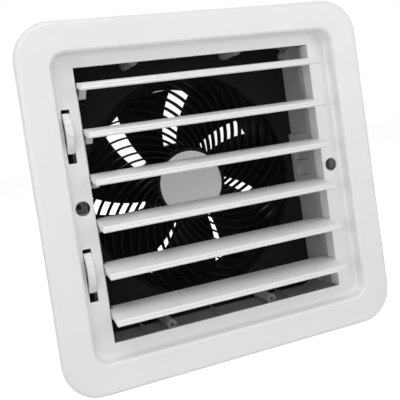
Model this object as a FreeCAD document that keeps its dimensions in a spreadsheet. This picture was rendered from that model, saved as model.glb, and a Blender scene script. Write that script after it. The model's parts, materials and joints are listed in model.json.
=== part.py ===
import FreeCAD
import Part
import Sketcher
import math
import os
from types import SimpleNamespace

from FreeCAD import Placement, Rotation, Vector

# Camper side vent fan: a wall frame with two banks of steerable louvres in
# front of a 12 V axial fan. X is to the right, Y into the wall and Z up.
# The origin is the centre of the flange's back face, which lies on the wall.

# Driving dimensions in millimetres and degrees: name, value, meaning
SIZES = (
    ("flange_width", 300, "outside width of the flange"),
    ("flange_height", 290, "outside height of the flange"),
    ("flange_corner", 30, "outside corner radius of the flange"),
    ("flange_thick", 6, "front of the flange to the wall"),
    ("flange_skin", 3, "moulded thickness of the hollow flange"),
    ("flange_rim", 3, "width of the rim that meets the wall"),
    ("flange_round", 4.5, "round of the flange's front edge"),
    ("recess_width", 247, "width of the sunk panel"),
    ("recess_height", 240, "height of the sunk panel"),
    ("recess_corner", 12, "corner radius of the sunk panel"),
    ("recess_depth", 12.6, "flange front to panel front"),
    ("recess_edge_round", 2.5, "round of the step's outer edge"),
    ("recess_floor_round", 3, "round where the step meets the panel"),
    ("tub_wall", 2.5, "wall of the sunk tub"),
    ("panel_thick", 3, "thickness of the panel"),
    ("opening_width", 210.4, "width of the air opening"),
    ("opening_height", 218.8, "height of the air opening"),
    ("lip_wall", 3, "thickness of the cheeks beside the opening"),
    ("lip_reach", 9, "depth of the cheeks behind the panel"),
    ("fixing_spread", 228, "distance between the two fixing holes"),
    ("fixing_hole_radius", 2.25, "radius of a fixing hole"),
    ("access_radius", 5.75, "radius of the panel's hole over a fixing"),
    ("access_round", 0.8, "round of that hole's front edge"),
    ("frame_screw_x", 119, "frame screw, sideways from the centre"),
    ("frame_screw_z", 116, "frame screw, up from the centre"),
    ("frame_boss_radius", 4.5, "radius of a frame screw boss"),
    ("frame_boss_length", 10, "length of a frame screw boss"),
    ("louvre_pitch", 36.5, "distance from one louvre to the next"),
    ("pivot_rise", 4.5, "middle of the pivot row above the centre"),
    ("pivot_back", 1.4, "pivot axis behind the end of the cheeks"),
    ("louvre_tilt", 8, "droop of the louvre noses at rest"),
    ("louvre_end_gap", 1, "gap between a louvre's end and the cheek"),
    ("blade_reach", 32, "pivot axis to the nose of a louvre"),
    ("blade_tail", 6, "pivot axis to the tail of a louvre"),
    ("blade_rise", 0.9, "middle of the louvre above its pivot"),
    ("nose_thick", 5, "thickness of the louvre's nose"),
    ("tail_thick", 1.6, "thickness of the louvre's tail"),
    ("crown_radius", 150, "radius of the louvre's upper face"),
    ("nose_round", 2.6, "round of the nose above its groove"),
    ("bead_round", 1.5, "round of the bead under the groove"),
    ("groove_depth", 0.9, "depth of the groove along the nose"),
    ("stub_radius", 2, "radius of a louvre's pivot stub"),
    ("stub_clearance", 0.06, "radial clearance of a pivot stub"),
    ("stub_proud", 0.8, "length of a stub past its bearing"),
    ("lug_room", 4, "room for the tie bar at a louvre's end"),
    ("lug_width", 5.8, "width of the crank lug"),
    ("lug_radius", 3.7, "round end of the crank lug"),
    ("crank_back", 8, "crank pin behind the pivot"),
    ("crank_drop", 8, "crank pin under the pivot"),
    ("crank_pin_radius", 1.4, "radius of a crank pin"),
    ("crank_clearance", 0.08, "radial clearance of a crank pin"),
    ("bar_thick", 2.6, "thickness of a tie bar"),
    ("bar_width", 3.4, "width of a tie bar between its eyes"),
    ("bar_gap", 0.5, "gap between a tie bar and the lugs"),
    ("eye_radius", 3.1, "radius of a tie bar's eyes"),
    ("wheel_radius", 21, "radius of a thumbwheel"),
    ("wheel_half_angle", 50, "half of the angle that a thumbwheel covers"),
    ("wheel_thick", 6, "thickness of a thumbwheel"),
    ("wheel_offset", 11, "edge of the opening to a thumbwheel"),
    ("wheel_hub", 5, "radius of a thumbwheel's hub"),
    ("wheel_rim", 4, "width of a thumbwheel's rim"),
    ("wheel_web", 2.4, "thickness of a thumbwheel's web"),
    ("flute_pitch", 25, "angle from one thumb flute to the next"),
    ("flute_radius", 5, "radius of a thumb flute"),
    ("flute_depth", 0.7, "depth of a thumb flute"),
    ("drive_square", 2.8, "square drive of a thumbwheel"),
    ("drive_clearance", 0.02, "clearance of the square drive"),
    ("slot_width", 6.6, "width of a thumbwheel slot"),
    ("slot_height", 42, "height of a thumbwheel slot"),
    ("slot_drop", 2.3, "middle of a slot under its wheel"),
    ("strip_depth", 8.4, "depth of a pivot strip"),
    ("foot_reach", 4.4, "sideways reach of a strip's foot"),
    ("foot_height", 8, "height of a strip's foot"),
    ("foot_thick", 2.4, "thickness of a strip's foot"),
    ("strip_boss_radius", 2.4, "radius of a strip screw boss"),
    ("box_width", 247, "outside width of the housing"),
    ("box_height", 241, "outside height of the housing"),
    ("box_corner", 28, "outside corner radius of the housing"),
    ("box_wall", 2.2, "wall of the housing"),
    ("box_depth", 56.4, "depth of the housing behind the panel"),
    ("plate_thick", 2.5, "thickness of the housing's back plate"),
    ("ear_thick", 3, "thickness of the housing's corner ears"),
    ("duct_width", 220, "width between the duct's side walls"),
    ("duct_wall", 2, "thickness of the duct's side walls"),
    ("duct_height", 227, "height of the duct's side walls"),
    ("duct_gap", 1, "gap between a pivot strip and the duct"),
    ("tower_height", 62, "height of a fixing tower"),
    ("tower_reach", 3, "reach of a fixing tower into the duct"),
    ("block_gap", 5, "panel's back to the front of a fixing block"),
    ("block_height", 24, "height of a fixing block"),
    ("block_clear", 1, "gap between a fixing block and the cheek"),
    ("pocket_width", 8, "width of the pocket in a fixing block"),
    ("pocket_height", 9, "height of the pocket in a fixing block"),
    ("pocket_depth", 10, "depth of the pocket in a fixing block"),
    ("boss_x", 48.6, "floor boss, sideways from the centre"),
    ("boss_radius", 4.3, "radius of a floor boss"),
    ("boss_hole", 1.6, "radius of the hole in a floor boss"),
    ("boss_length", 31.5, "length of a floor boss"),
    ("boss_hole_depth", 24, "depth of the hole in a floor boss"),
    ("side_pocket_depth", 20, "depth along the duct of a tower's pocket"),
    ("side_pocket_sink", 3, "sideways sink of a tower's pocket"),
    ("side_pocket_height", 8, "height of a tower's pocket"),
    ("side_pocket_rise", 9.5, "upper pocket of a tower above the centre"),
    ("side_pocket_drop", 5, "lower pocket of a tower under the centre"),
    ("rib_spread", 69, "distance between the floor ribs"),
    ("rib_thick", 1.5, "thickness of a floor rib"),
    ("rib_tall", 2.4, "height of a floor rib"),
    ("rib_length", 44, "length of a floor rib"),
    ("corner_inset", 12.5, "shroud screw from the housing's sides"),
    ("corner_boss", 4.5, "radius of a shroud screw boss"),
    ("corner_boss_length", 18, "length of a shroud screw boss"),
    ("mouth_radius", 101, "inside radius of the barrel's mouth"),
    ("throat_radius", 91.2, "inside radius of the throat before the rotor"),
    ("throat_length", 1.8, "length of that throat"),
    ("barrel_bore", 92.6, "inside radius of the barrel round the rotor"),
    ("barrel_wall", 2.5, "wall of the fan's barrel"),
    ("barrel_length", 52, "length of the fan's barrel"),
    ("barrel_flare", 3, "flare of the barrel's rear edge"),
    ("guard_ring", 1.6, "thickness of the guard's outer ring"),
    ("swirl_radius", 63, "radius of a swirl rib's arc"),
    ("swirl_offset", 51.5, "centre of that arc from the fan's axis"),
    ("swirl_thick", 1.7, "thickness of a swirl rib"),
    ("swirl_depth", 7, "depth of a swirl rib"),
    ("swirl_turn", 4.9, "turn of the whole guard about its axis"),
    ("cup_outer", 33.6, "outside radius of the motor cup"),
    ("motor_gap", 0.3, "gap between the motor and its cup"),
    ("motor_cup_depth", 12, "depth of the motor cup"),
    ("motor_radius", 31, "outside radius of the motor"),
    ("motor_length", 30, "length of the motor's can"),
    ("motor_wall", 1.5, "wall of the motor's can"),
    ("motor_sink", 0.8, "motor's end behind the guard's face"),
    ("cap_thick", 2, "thickness of the motor's end cap"),
    ("label_radius", 30.4, "radius of the label disc"),
    ("label_thick", 0.5, "thickness of the label disc"),
    ("motor_ear_circle", 36.4, "radius of the motor's screw circle"),
    ("motor_ear_radius", 4.2, "radius of a motor ear"),
    ("motor_ear_thick", 2, "thickness of a motor ear"),
    ("magnet_thick", 4.2, "thickness of a magnet"),
    ("magnet_length", 20, "length of a magnet"),
    ("magnet_angle", 130, "angle round the motor that a magnet takes"),
    ("air_gap", 0.6, "gap between magnets and armature"),
    ("armature_length", 11, "length of the armature's core"),
    ("slot_count", 12, "slots in the armature's core"),
    ("commutator_radius", 8, "radius of the commutator"),
    ("commutator_length", 6, "length of the commutator"),
    ("shaft_radius", 4, "radius of the motor's shaft"),
    ("shaft_fit", 0.02, "radial clearance of what the shaft carries"),
    ("bush_fit", 0.03, "radial clearance of the shaft in its bushes"),
    ("bush_radius", 8, "outside radius of a bearing bush"),
    ("bush_length", 5, "length of a bearing bush"),
    ("socket_wall", 1.5, "wall of a bearing's socket"),
    ("seat_fit", 0.02, "clearance of seated pieces"),
    ("rotor_gap", 14, "guard ribs to the front of the rotor"),
    ("rotor_depth", 23, "depth of the rotor's hub"),
    ("hub_radius", 39, "outside radius of the rotor's hub"),
    ("hub_wall", 2.5, "wall of the rotor's hub"),
    ("hub_boss", 9, "radius of the hub's boss"),
    ("hub_boss_reach", 4, "reach of the boss into the hub"),
    ("tip_gap", 1.2, "gap between the blade tips and the barrel"),
    ("blade_depth", 19, "depth of a rotor blade along the axis"),
    ("blade_angle", 41, "angle that a rotor blade covers"),
    ("blade_sweep", 17.5, "angle by which a blade trails at its tip"),
    ("blade_thick", 2.2, "thickness of a rotor blade"),
    ("blade_start", 73.2, "place of the first blade round the axis"),
    ("blade_camber", 2.5, "hollow of a rotor blade"),
    ("nut_flats", 12, "width of the rotor nut across its flats"),
    ("nut_thick", 5, "thickness of the rotor nut"),
    ("screw_head", 3.3, "head radius of the frame screws"),
    ("screw_shank", 1.5, "shank radius of the frame screws"),
    ("screw_length", 9, "shank length of the frame screws"),
    ("head_height", 2.2, "head height of the frame screws"),
    ("small_head", 2.1, "head radius of the strip screws"),
    ("small_shank", 1, "shank radius of the strip screws"),
    ("small_length", 7, "shank length of the strip screws"),
    ("small_height", 1.4, "head height of the strip screws"),
    ("hole_clearance", 0.3, "radial clearance of a screw's hole"),
    ("pilot_fit", 0.02, "radial clearance of a screw in its boss"),
)

LOUVRE_COUNT = 6
BANK_COUNT = 3
DRIVEN = range(1, LOUVRE_COUNT, BANK_COUNT)
RIB_COUNT = 40
BLADE_COUNT = 7
FLUTE_COUNT = 4
EAR_COUNT = 3
FINISHED = []


# A size kept both as a number and as the expression that gives it
class Size:
    def __init__(self, value, text):
        self.value = value
        self.text = text

    def __add__(self, other):
        other = as_size(other)
        return Size(self.value + other.value, f"({self.text} + {other.text})")

    def __sub__(self, other):
        other = as_size(other)
        return Size(self.value - other.value, f"({self.text} - {other.text})")

    def __mul__(self, other):
        other = as_size(other)
        return Size(self.value * other.value, f"({self.text} * {other.text})")

    def __truediv__(self, other):
        other = as_size(other)
        return Size(self.value / other.value, f"({self.text} / {other.text})")

    def __neg__(self):
        return Size(-self.value, f"(0 - {self.text})")

    __radd__ = __add__
    __rmul__ = __mul__

    def __rsub__(self, other):
        return as_size(other) - self


def as_size(number):
    if isinstance(number, Size):
        return number
    return Size(float(number), f"({float(number)})")


def cos_of(angle):
    return Size(math.cos(math.radians(angle.value)), f"cos({angle.text})")


def sin_of(angle):
    return Size(math.sin(math.radians(angle.value)), f"sin({angle.text})")


def write_sheet(document):
    page = document.addObject("Spreadsheet::Sheet", "sizes")
    sizes = SimpleNamespace()
    for row, (alias, value, meaning) in enumerate(SIZES, start=1):
        page.set(f"A{row}", alias)
        page.set(f"B{row}", str(value))
        page.set(f"C{row}", meaning)
        page.setAlias(f"B{row}", alias)
        setattr(sizes, alias, Size(float(value), f"sizes.{alias}"))
    document.recompute()
    return sizes


# Places that several sub-parts share, worked out from the sheet
def shared_places(s):
    p = SimpleNamespace()
    p.panel_front = s.recess_depth - s.flange_thick
    p.panel_back = p.panel_front + s.panel_thick
    p.lip_end = p.panel_back + s.lip_reach
    p.pivot_y = p.lip_end + s.pivot_back
    p.open_half = s.opening_width / 2
    p.louvre_half = p.open_half - s.louvre_end_gap
    p.lug_end = p.louvre_half - s.lug_room
    p.stub_end = p.open_half + s.lip_wall + s.stub_proud
    p.wheel_middle = p.open_half + s.wheel_offset
    p.wheel_outer = p.wheel_middle + s.wheel_thick / 2
    p.wheel_inner = p.wheel_middle - s.wheel_thick / 2
    p.strip_end = p.lip_end + s.strip_depth
    p.foot_x = p.open_half + s.lip_wall + s.foot_reach / 2
    p.fixing_x = s.fixing_spread / 2
    p.block_front = p.panel_back + s.block_gap
    p.pocket_floor = p.block_front + s.pocket_depth
    p.frame_boss_end = p.panel_back + s.frame_boss_length
    p.plate_back = p.panel_back + s.box_depth
    p.plate_front = p.plate_back - s.plate_thick
    p.duct_start = p.strip_end + s.duct_gap
    p.duct_half = s.duct_width / 2
    p.floor_z = s.box_height / 2 - s.box_wall
    p.boss_z = p.floor_z - s.boss_radius + s.box_wall / 8
    p.corner_x = s.box_width / 2 - s.corner_inset
    p.corner_z = s.box_height / 2 - s.corner_inset
    p.motor_front = p.plate_back + s.motor_sink
    p.motor_back = p.motor_front + s.motor_length
    p.cup_back = p.plate_back + s.motor_cup_depth
    p.cup_inner = s.motor_radius + s.motor_gap
    p.rotor_front = p.plate_back + s.swirl_depth + s.rotor_gap
    p.rotor_back = p.rotor_front + s.rotor_depth
    p.pivots = [s.pivot_rise + s.louvre_pitch * ((LOUVRE_COUNT - 1) / 2 - i) for i in range(LOUVRE_COUNT)]
    p.pin_y = s.crank_back * cos_of(s.louvre_tilt) + s.crank_drop * sin_of(s.louvre_tilt)
    p.pin_z = s.crank_back * sin_of(s.louvre_tilt) - s.crank_drop * cos_of(s.louvre_tilt)
    p.foot_z = [s.pivot_rise + s.louvre_pitch * turn for turn in (2, -2)]
    return p


# A sketch on one of a body's own origin planes, drawn with bound sizes
class Drawing:
    def __init__(self, body, name, plane, offset=0):
        self.sketch = body.newObject("Sketcher::SketchObject", name)
        support = [face for face in body.Origin.OriginFeatures if face.Role == plane]
        self.sketch.AttachmentSupport = (support[0], [""])
        self.sketch.MapMode = "FlatFace"
        offset = -as_size(offset) if plane == "XZ_Plane" else as_size(offset)
        self.sketch.setExpression("AttachmentOffset.Base.z", offset.text)

    def bind(self, kind, *places):
        size = places[-1]
        row = self.sketch.addConstraint(Sketcher.Constraint(kind, *places[:-1], size.value))
        self.sketch.setExpression(f"Constraints[{row}]", size.text)

    def join(self, kind, *places):
        self.sketch.addConstraint(Sketcher.Constraint(kind, *places))

    def pin_point(self, shape, corner, across, up):
        self.bind("DistanceX", -1, 1, shape, corner, across)
        self.bind("DistanceY", -1, 1, shape, corner, up)

    def circle(self, radius, across=0, up=0, helper=False):
        radius, across, up = as_size(radius), as_size(across), as_size(up)
        middle = Vector(across.value, up.value, 0)
        ring = Part.Circle(middle, Vector(0, 0, 1), radius.value)
        shape = self.sketch.addGeometry(ring, helper)
        self.bind("Radius", shape, radius)
        self.pin_point(shape, 3, across, up)
        return shape

    def arc_between(self, start, end, radius, left):
        chord = end - start
        side = Vector(-chord.y, chord.x, 0).normalize()
        rise = math.sqrt(max(radius ** 2 - (chord.Length / 2) ** 2, 0))
        middle = (start + end) * 0.5 + side * (rise if left else -rise)
        first, last = (start, end) if left else (end, start)
        angles = [math.atan2(point.y - middle.y, point.x - middle.x) for point in (first, last)]
        ring = Part.Circle(middle, Vector(0, 0, 1), radius)
        return Part.ArcOfCircle(ring, angles[0], angles[1])

    # Closed outline through pinned corners; bends gives the radius of the
    # stretch after a corner, and whether its centre lies to the left
    def outline(self, corners, bends=None):
        bends = bends or {}
        corners = [(as_size(across), as_size(up)) for across, up in corners]
        points = [Vector(across.value, up.value, 0) for across, up in corners]
        starts = []
        ends = []
        for i, start in enumerate(points):
            end = points[(i + 1) % len(points)]
            if i in bends:
                radius, left = bends[i]
                radius = as_size(radius)
                shape = self.sketch.addGeometry(self.arc_between(start, end, radius.value, left))
                self.bind("Radius", shape, radius)
                starts.append((shape, 1 if left else 2))
                ends.append((shape, 2 if left else 1))
            else:
                shape = self.sketch.addGeometry(Part.LineSegment(start, end))
                starts.append((shape, 1))
                ends.append((shape, 2))
        for i, (across, up) in enumerate(corners):
            self.join("Coincident", *ends[i - 1], *starts[i])
            self.pin_point(*starts[i], across, up)

    def rectangle(self, width, height, across=0, up=0):
        left = as_size(across) - as_size(width) / 2
        low = as_size(up) - as_size(height) / 2
        right = left + width
        high = low + height
        self.outline([(left, low), (right, low), (right, high), (left, high)])

    def rounded(self, width, height, corner):
        side = as_size(width) / 2
        end = as_size(height) / 2
        inner_side = side - corner
        inner_end = end - corner
        corners = [
            (-inner_side, -end), (inner_side, -end), (side, -inner_end), (side, inner_end),
            (inner_side, end), (-inner_side, end), (-side, inner_end), (-side, -inner_end),
        ]
        self.outline(corners, {i: (corner, True) for i in (1, 3, 5, 7)})


def new_body(document, name):
    body = document.addObject("PartDesign::Body", name)
    body.Label = name
    FINISHED.append(body)
    return body


def pad(body, drawing, length, name, forward=False):
    feature = body.newObject("PartDesign::Pad", name)
    feature.Profile = drawing.sketch
    feature.Reversed = not forward
    feature.setExpression("Length", as_size(length).text)
    return feature


def pocket(body, drawing, name, length=None, reverse=False, both=False):
    feature = body.newObject("PartDesign::Pocket", name)
    feature.Profile = drawing.sketch
    feature.Reversed = reverse
    if both:
        feature.SideType = "Symmetric"
    if length is None:
        feature.Type = "ThroughAll"
    else:
        feature.setExpression("Length", as_size(length).text)
    return feature


def polar(body, feature, drawing, count, name):
    pattern = body.newObject("PartDesign::PolarPattern", name)
    pattern.Originals = [feature]
    pattern.Axis = (drawing.sketch, ["N_Axis"])
    pattern.Angle = 360
    pattern.Occurrences = count
    body.Tip = pattern
    return pattern


# A turned piece about the Y axis from corners given as radius and depth
def turned(document, name, corners, bends=None):
    body = new_body(document, name)
    turn(body, corners, f"{name}_turning", bends)
    return body


def turn(body, corners, name, bends=None):
    drawing = Drawing(body, f"{name}_profile", "XY_Plane")
    drawing.outline(corners, bends)
    feature = body.newObject("PartDesign::Revolution", name)
    feature.Profile = drawing.sketch
    feature.ReferenceAxis = (drawing.sketch, ["V_Axis"])
    feature.Angle = 360
    return feature


def round_edges(document, body, feature, depth, half_width, half_height, radius, name):
    document.recompute()
    near = 1e-4
    names = []
    for number, edge in enumerate(feature.Shape.Edges, start=1):
        points = [vertex.Point for vertex in edge.Vertexes]
        level = all(abs(point.y - depth.value) < near for point in points)
        placed = all(
            abs(abs(point.x) - half_width.value) < near or abs(abs(point.z) - half_height.value) < near
            for point in points
        )
        if level and placed:
            names.append(f"Edge{number}")
    fillet = body.newObject("PartDesign::Fillet", name)
    fillet.Base = (feature, names)
    fillet.setExpression("Radius", radius.text)
    return fillet


def round_holes(document, body, feature, depth, hole_radius, radius, name):
    document.recompute()
    near = 1e-4
    names = []
    for number, edge in enumerate(feature.Shape.Edges, start=1):
        curve = edge.Curve
        if curve.TypeId == "Part::GeomCircle" and abs(curve.Radius - hole_radius.value) < near:
            if abs(curve.Center.y - depth.value) < near:
                names.append(f"Edge{number}")
    fillet = body.newObject("PartDesign::Fillet", name)
    fillet.Base = (feature, names)
    fillet.setExpression("Radius", radius.text)
    return fillet


def place(body, across=0, depth=0, up=0, turn_angle=None):
    if turn_angle is not None:
        body.Placement = Placement(Vector(), Rotation(Vector(1, 0, 0), turn_angle.value))
        body.setExpression("Placement.Rotation.Angle", turn_angle.text)
    for axis, size in (("x", across), ("y", depth), ("z", up)):
        body.setExpression(f"Placement.Base.{axis}", as_size(size).text)


# White frame: hollow flange, sunk tub and panel, cheeks and bosses
def build_front_frame(document, s, p):
    body = new_body(document, "front_frame")
    front = -s.flange_thick
    flange = Drawing(body, "flange_outline", "XZ_Plane", front)
    flange.rounded(s.flange_width, s.flange_height, s.flange_corner)
    flange_pad = pad(body, flange, s.flange_thick, "flange")
    half_width, half_height = s.flange_width / 2, s.flange_height / 2
    round_edges(document, body, flange_pad, front, half_width, half_height, s.flange_round, "flange_edge")

    tub_width = s.recess_width + s.tub_wall * 2
    tub_height = s.recess_height + s.tub_wall * 2
    tub_corner = s.recess_corner + s.tub_wall
    hollow = Drawing(body, "flange_hollow_outline", "XZ_Plane", 0)
    rim = s.flange_rim * 2
    hollow.rounded(s.flange_width - rim, s.flange_height - rim, s.flange_corner - s.flange_rim)
    hollow.rounded(tub_width, tub_height, tub_corner)
    pocket(body, hollow, "flange_hollow", s.flange_thick - s.flange_skin, reverse=True)
    tub = Drawing(body, "tub_outline", "XZ_Plane", 0)
    tub.rounded(tub_width, tub_height, tub_corner)
    pad(body, tub, p.panel_back, "tub")
    recess = Drawing(body, "recess_outline", "XZ_Plane", front)
    recess.rounded(s.recess_width, s.recess_height, s.recess_corner)
    recess_cut = pocket(body, recess, "recess", s.recess_depth)
    half_width, half_height = s.recess_width / 2, s.recess_height / 2
    edge = round_edges(
        document, body, recess_cut, front, half_width, half_height, s.recess_edge_round, "step_edge")
    round_edges(
        document, body, edge, p.panel_front, half_width, half_height, s.recess_floor_round, "step_floor")

    cheeks = Drawing(body, "cheek_outline", "XZ_Plane", p.panel_back)
    for side in (-1, 1):
        cheeks.rectangle(s.lip_wall, s.opening_height, (p.open_half + s.lip_wall / 2) * side)
    pad(body, cheeks, s.lip_reach, "cheeks")
    corner_bosses = Drawing(body, "frame_boss_outline", "XZ_Plane", p.panel_back)
    strip_bosses = Drawing(body, "strip_boss_outline", "XZ_Plane", p.panel_back)
    for side in (-1, 1):
        for end in (-1, 1):
            corner_bosses.circle(s.frame_boss_radius, s.frame_screw_x * side, s.frame_screw_z * end)
        for height in p.foot_z:
            strip_bosses.circle(s.strip_boss_radius, p.foot_x * side, height)
    pad(body, corner_bosses, s.frame_boss_length, "frame_bosses")
    pad(body, strip_bosses, s.lip_reach, "strip_bosses")

    opening = Drawing(body, "opening_outline", "XZ_Plane", front)
    opening.rectangle(s.opening_width, s.opening_height)
    pocket(body, opening, "opening")
    slots = Drawing(body, "slot_outline", "XZ_Plane", front)
    for louvre in DRIVEN:
        slots.rectangle(s.slot_width, s.slot_height, -p.wheel_middle, p.pivots[louvre] - s.slot_drop)
    pocket(body, slots, "thumbwheel_slots")
    access = Drawing(body, "access_outline", "XZ_Plane", p.panel_front)
    for side in (-1, 1):
        access.circle(s.access_radius, p.fixing_x * side)
    access_holes = pocket(body, access, "access_holes", s.panel_thick)
    round_holes(document, body, access_holes, p.panel_front, s.access_radius, s.access_round, "access_edges")
    pilots = Drawing(body, "frame_pilot_outline", "XZ_Plane", p.frame_boss_end)
    strip_pilots = Drawing(body, "strip_pilot_outline", "XZ_Plane", p.lip_end)
    for side in (-1, 1):
        for end in (-1, 1):
            pilots.circle(s.screw_shank + s.pilot_fit, s.frame_screw_x * side, s.frame_screw_z * end)
        for height in p.foot_z:
            strip_pilots.circle(s.small_shank + s.pilot_fit, p.foot_x * side, height)
    pocket(body, pilots, "frame_pilots", s.frame_boss_length, reverse=True)
    pocket(body, strip_pilots, "strip_pilots", s.lip_reach, reverse=True)
    bearings = Drawing(body, "bearing_outline", "YZ_Plane")
    for height in p.pivots:
        bearings.circle(s.stub_radius + s.stub_clearance, p.pivot_y, height)
    pocket(body, bearings, "bearing_notches", both=True)


# One louvre: a slat with a beaded nose, its stubs and its crank lug
def build_louvre(document, s, p, number):
    body = new_body(document, f"louvre_{number + 1}")
    name = body.Label
    nose = -s.blade_reach
    half_nose = s.nose_thick / 2
    half_tail = s.tail_thick / 2
    section = Drawing(body, f"{name}_section", "YZ_Plane", -p.louvre_half)
    section.outline(
        [
            (nose + half_nose, s.blade_rise - half_nose),
            (s.blade_tail - half_tail, s.blade_rise - half_tail),
            (s.blade_tail - half_tail, s.blade_rise + half_tail),
            (nose + half_nose, s.blade_rise + half_nose),
            (nose + s.groove_depth / 2, s.blade_rise + s.groove_depth),
            (nose + s.groove_depth, s.blade_rise),
            (nose, s.blade_rise - s.groove_depth),
        ],
        {
            1: (s.tail_thick * 0.6, True),
            2: (s.crown_radius, True),
            3: (s.nose_round, True),
            6: (s.bead_round * 1.2, True),
        },
    )
    pad(body, section, p.louvre_half * 2, f"{name}_slat", forward=True)
    notch = Drawing(body, f"{name}_notch_outline", "XY_Plane")
    notch_front = -s.stub_radius * 2
    notch_back = s.blade_tail + s.tail_thick
    notch.rectangle(
        s.lug_room * 2, notch_back - notch_front, -p.louvre_half, (notch_front + notch_back) / 2)
    pocket(body, notch, f"{name}_notch", both=True)

    lug = Drawing(body, f"{name}_lug_outline", "YZ_Plane", -p.lug_end)
    lug.outline(
        [
            (s.crank_back - s.lug_radius, -s.crank_drop),
            (s.crank_back + s.lug_radius, -s.crank_drop),
            (s.blade_tail - half_tail, s.blade_rise),
            (-s.stub_radius, s.blade_rise),
            (-s.stub_radius, -half_tail),
        ],
        {0: (s.lug_radius * 1.02, True)},
    )
    pad(body, lug, s.lug_width, f"{name}_lug", forward=True)
    crank_pin = Drawing(body, f"{name}_crank_pin_outline", "YZ_Plane", -p.lug_end)
    crank_pin.circle(s.crank_pin_radius, s.crank_back, -s.crank_drop)
    pad(body, crank_pin, s.bar_gap * 1.5 + s.bar_thick, f"{name}_crank_pin")

    left_end = p.wheel_inner if number in DRIVEN else p.stub_end
    left_stub = Drawing(body, f"{name}_left_stub_outline", "YZ_Plane", -left_end)
    left_stub.circle(s.stub_radius)
    pad(body, left_stub, left_end - p.lug_end + s.lug_width, f"{name}_left_stub", forward=True)
    right_stub = Drawing(body, f"{name}_right_stub_outline", "YZ_Plane", p.stub_end)
    right_stub.circle(s.stub_radius)
    pad(body, right_stub, p.stub_end - p.louvre_half + s.lug_width, f"{name}_right_stub")
    if number in DRIVEN:
        drive = Drawing(body, f"{name}_drive_outline", "YZ_Plane", -p.wheel_outer)
        drive.rectangle(s.drive_square, s.drive_square)
        pad(body, drive, s.wheel_thick, f"{name}_drive", forward=True)
    place(body, 0, p.pivot_y, p.pivots[number], s.louvre_tilt)


# Fluted sector of a thumbwheel on the square end of a louvre's stub
def build_thumbwheel(document, s, p, name, louvre):
    body = new_body(document, name)
    sector = Drawing(body, f"{name}_sector_outline", "YZ_Plane", -p.wheel_outer)
    front = -s.wheel_radius * cos_of(s.wheel_half_angle)
    high = s.wheel_radius * sin_of(s.wheel_half_angle)
    sector.outline([(0, 0), (front, high), (front, -high)], {1: (s.wheel_radius, True)})
    pad(body, sector, s.wheel_thick, f"{name}_sector", forward=True)
    hub = Drawing(body, f"{name}_hub_outline", "YZ_Plane", -p.wheel_outer)
    hub.circle(s.wheel_hub)
    pad(body, hub, s.wheel_thick, f"{name}_hub", forward=True)
    sink = (s.wheel_thick - s.wheel_web) / 2
    for end, start, reverse in (("outer", -p.wheel_outer, True), ("inner", -p.wheel_inner, False)):
        face = Drawing(body, f"{name}_{end}_outline", "YZ_Plane", start)
        face.circle(s.wheel_radius - s.wheel_rim)
        face.circle(s.wheel_hub)
        pocket(body, face, f"{name}_{end}_hollow", sink, reverse=reverse)
    bore = Drawing(body, f"{name}_bore_outline", "YZ_Plane", -p.wheel_inner)
    half = s.drive_square / 2 + s.drive_clearance
    far = half * (cos_of(s.louvre_tilt) + sin_of(s.louvre_tilt))
    near = half * (cos_of(s.louvre_tilt) - sin_of(s.louvre_tilt))
    bore.outline([(near, far), (-far, near), (-near, -far), (far, -near)])
    pocket(body, bore, f"{name}_bore", s.wheel_thick)
    flutes = Drawing(body, f"{name}_flute_outline", "YZ_Plane", -p.wheel_inner)
    out = s.wheel_radius + s.flute_radius - s.flute_depth
    for step in range(FLUTE_COUNT):
        angle = s.flute_pitch * (step - (FLUTE_COUNT - 1) / 2)
        flutes.circle(s.flute_radius, -out * cos_of(angle), out * sin_of(angle))
    pocket(body, flutes, f"{name}_flutes", s.wheel_thick)
    place(body, 0, p.pivot_y, p.pivots[louvre])


# Tie bar that links the crank pins of a bank of louvres
def build_tie_bar(document, s, p, name, louvre):
    body = new_body(document, name)
    start = -(p.lug_end + s.bar_gap + s.bar_thick)
    bar = Drawing(body, f"{name}_outline", "YZ_Plane", start)
    bar.rectangle(s.bar_width, s.louvre_pitch * (BANK_COUNT - 1))
    pad(body, bar, s.bar_thick, f"{name}_bar", forward=True)
    eyes = Drawing(body, f"{name}_eye_outline", "YZ_Plane", start)
    holes = Drawing(body, f"{name}_hole_outline", "YZ_Plane", start)
    for step in (-1, 0, 1):
        eyes.circle(s.eye_radius, 0, s.louvre_pitch * step)
        holes.circle(s.crank_pin_radius + s.crank_clearance, 0, s.louvre_pitch * step)
    pad(body, eyes, s.bar_thick, f"{name}_eyes", forward=True)
    pocket(body, holes, f"{name}_holes", both=True)
    place(body, 0, p.pivot_y + p.pin_y, p.pivots[louvre] + p.pin_z)


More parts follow.
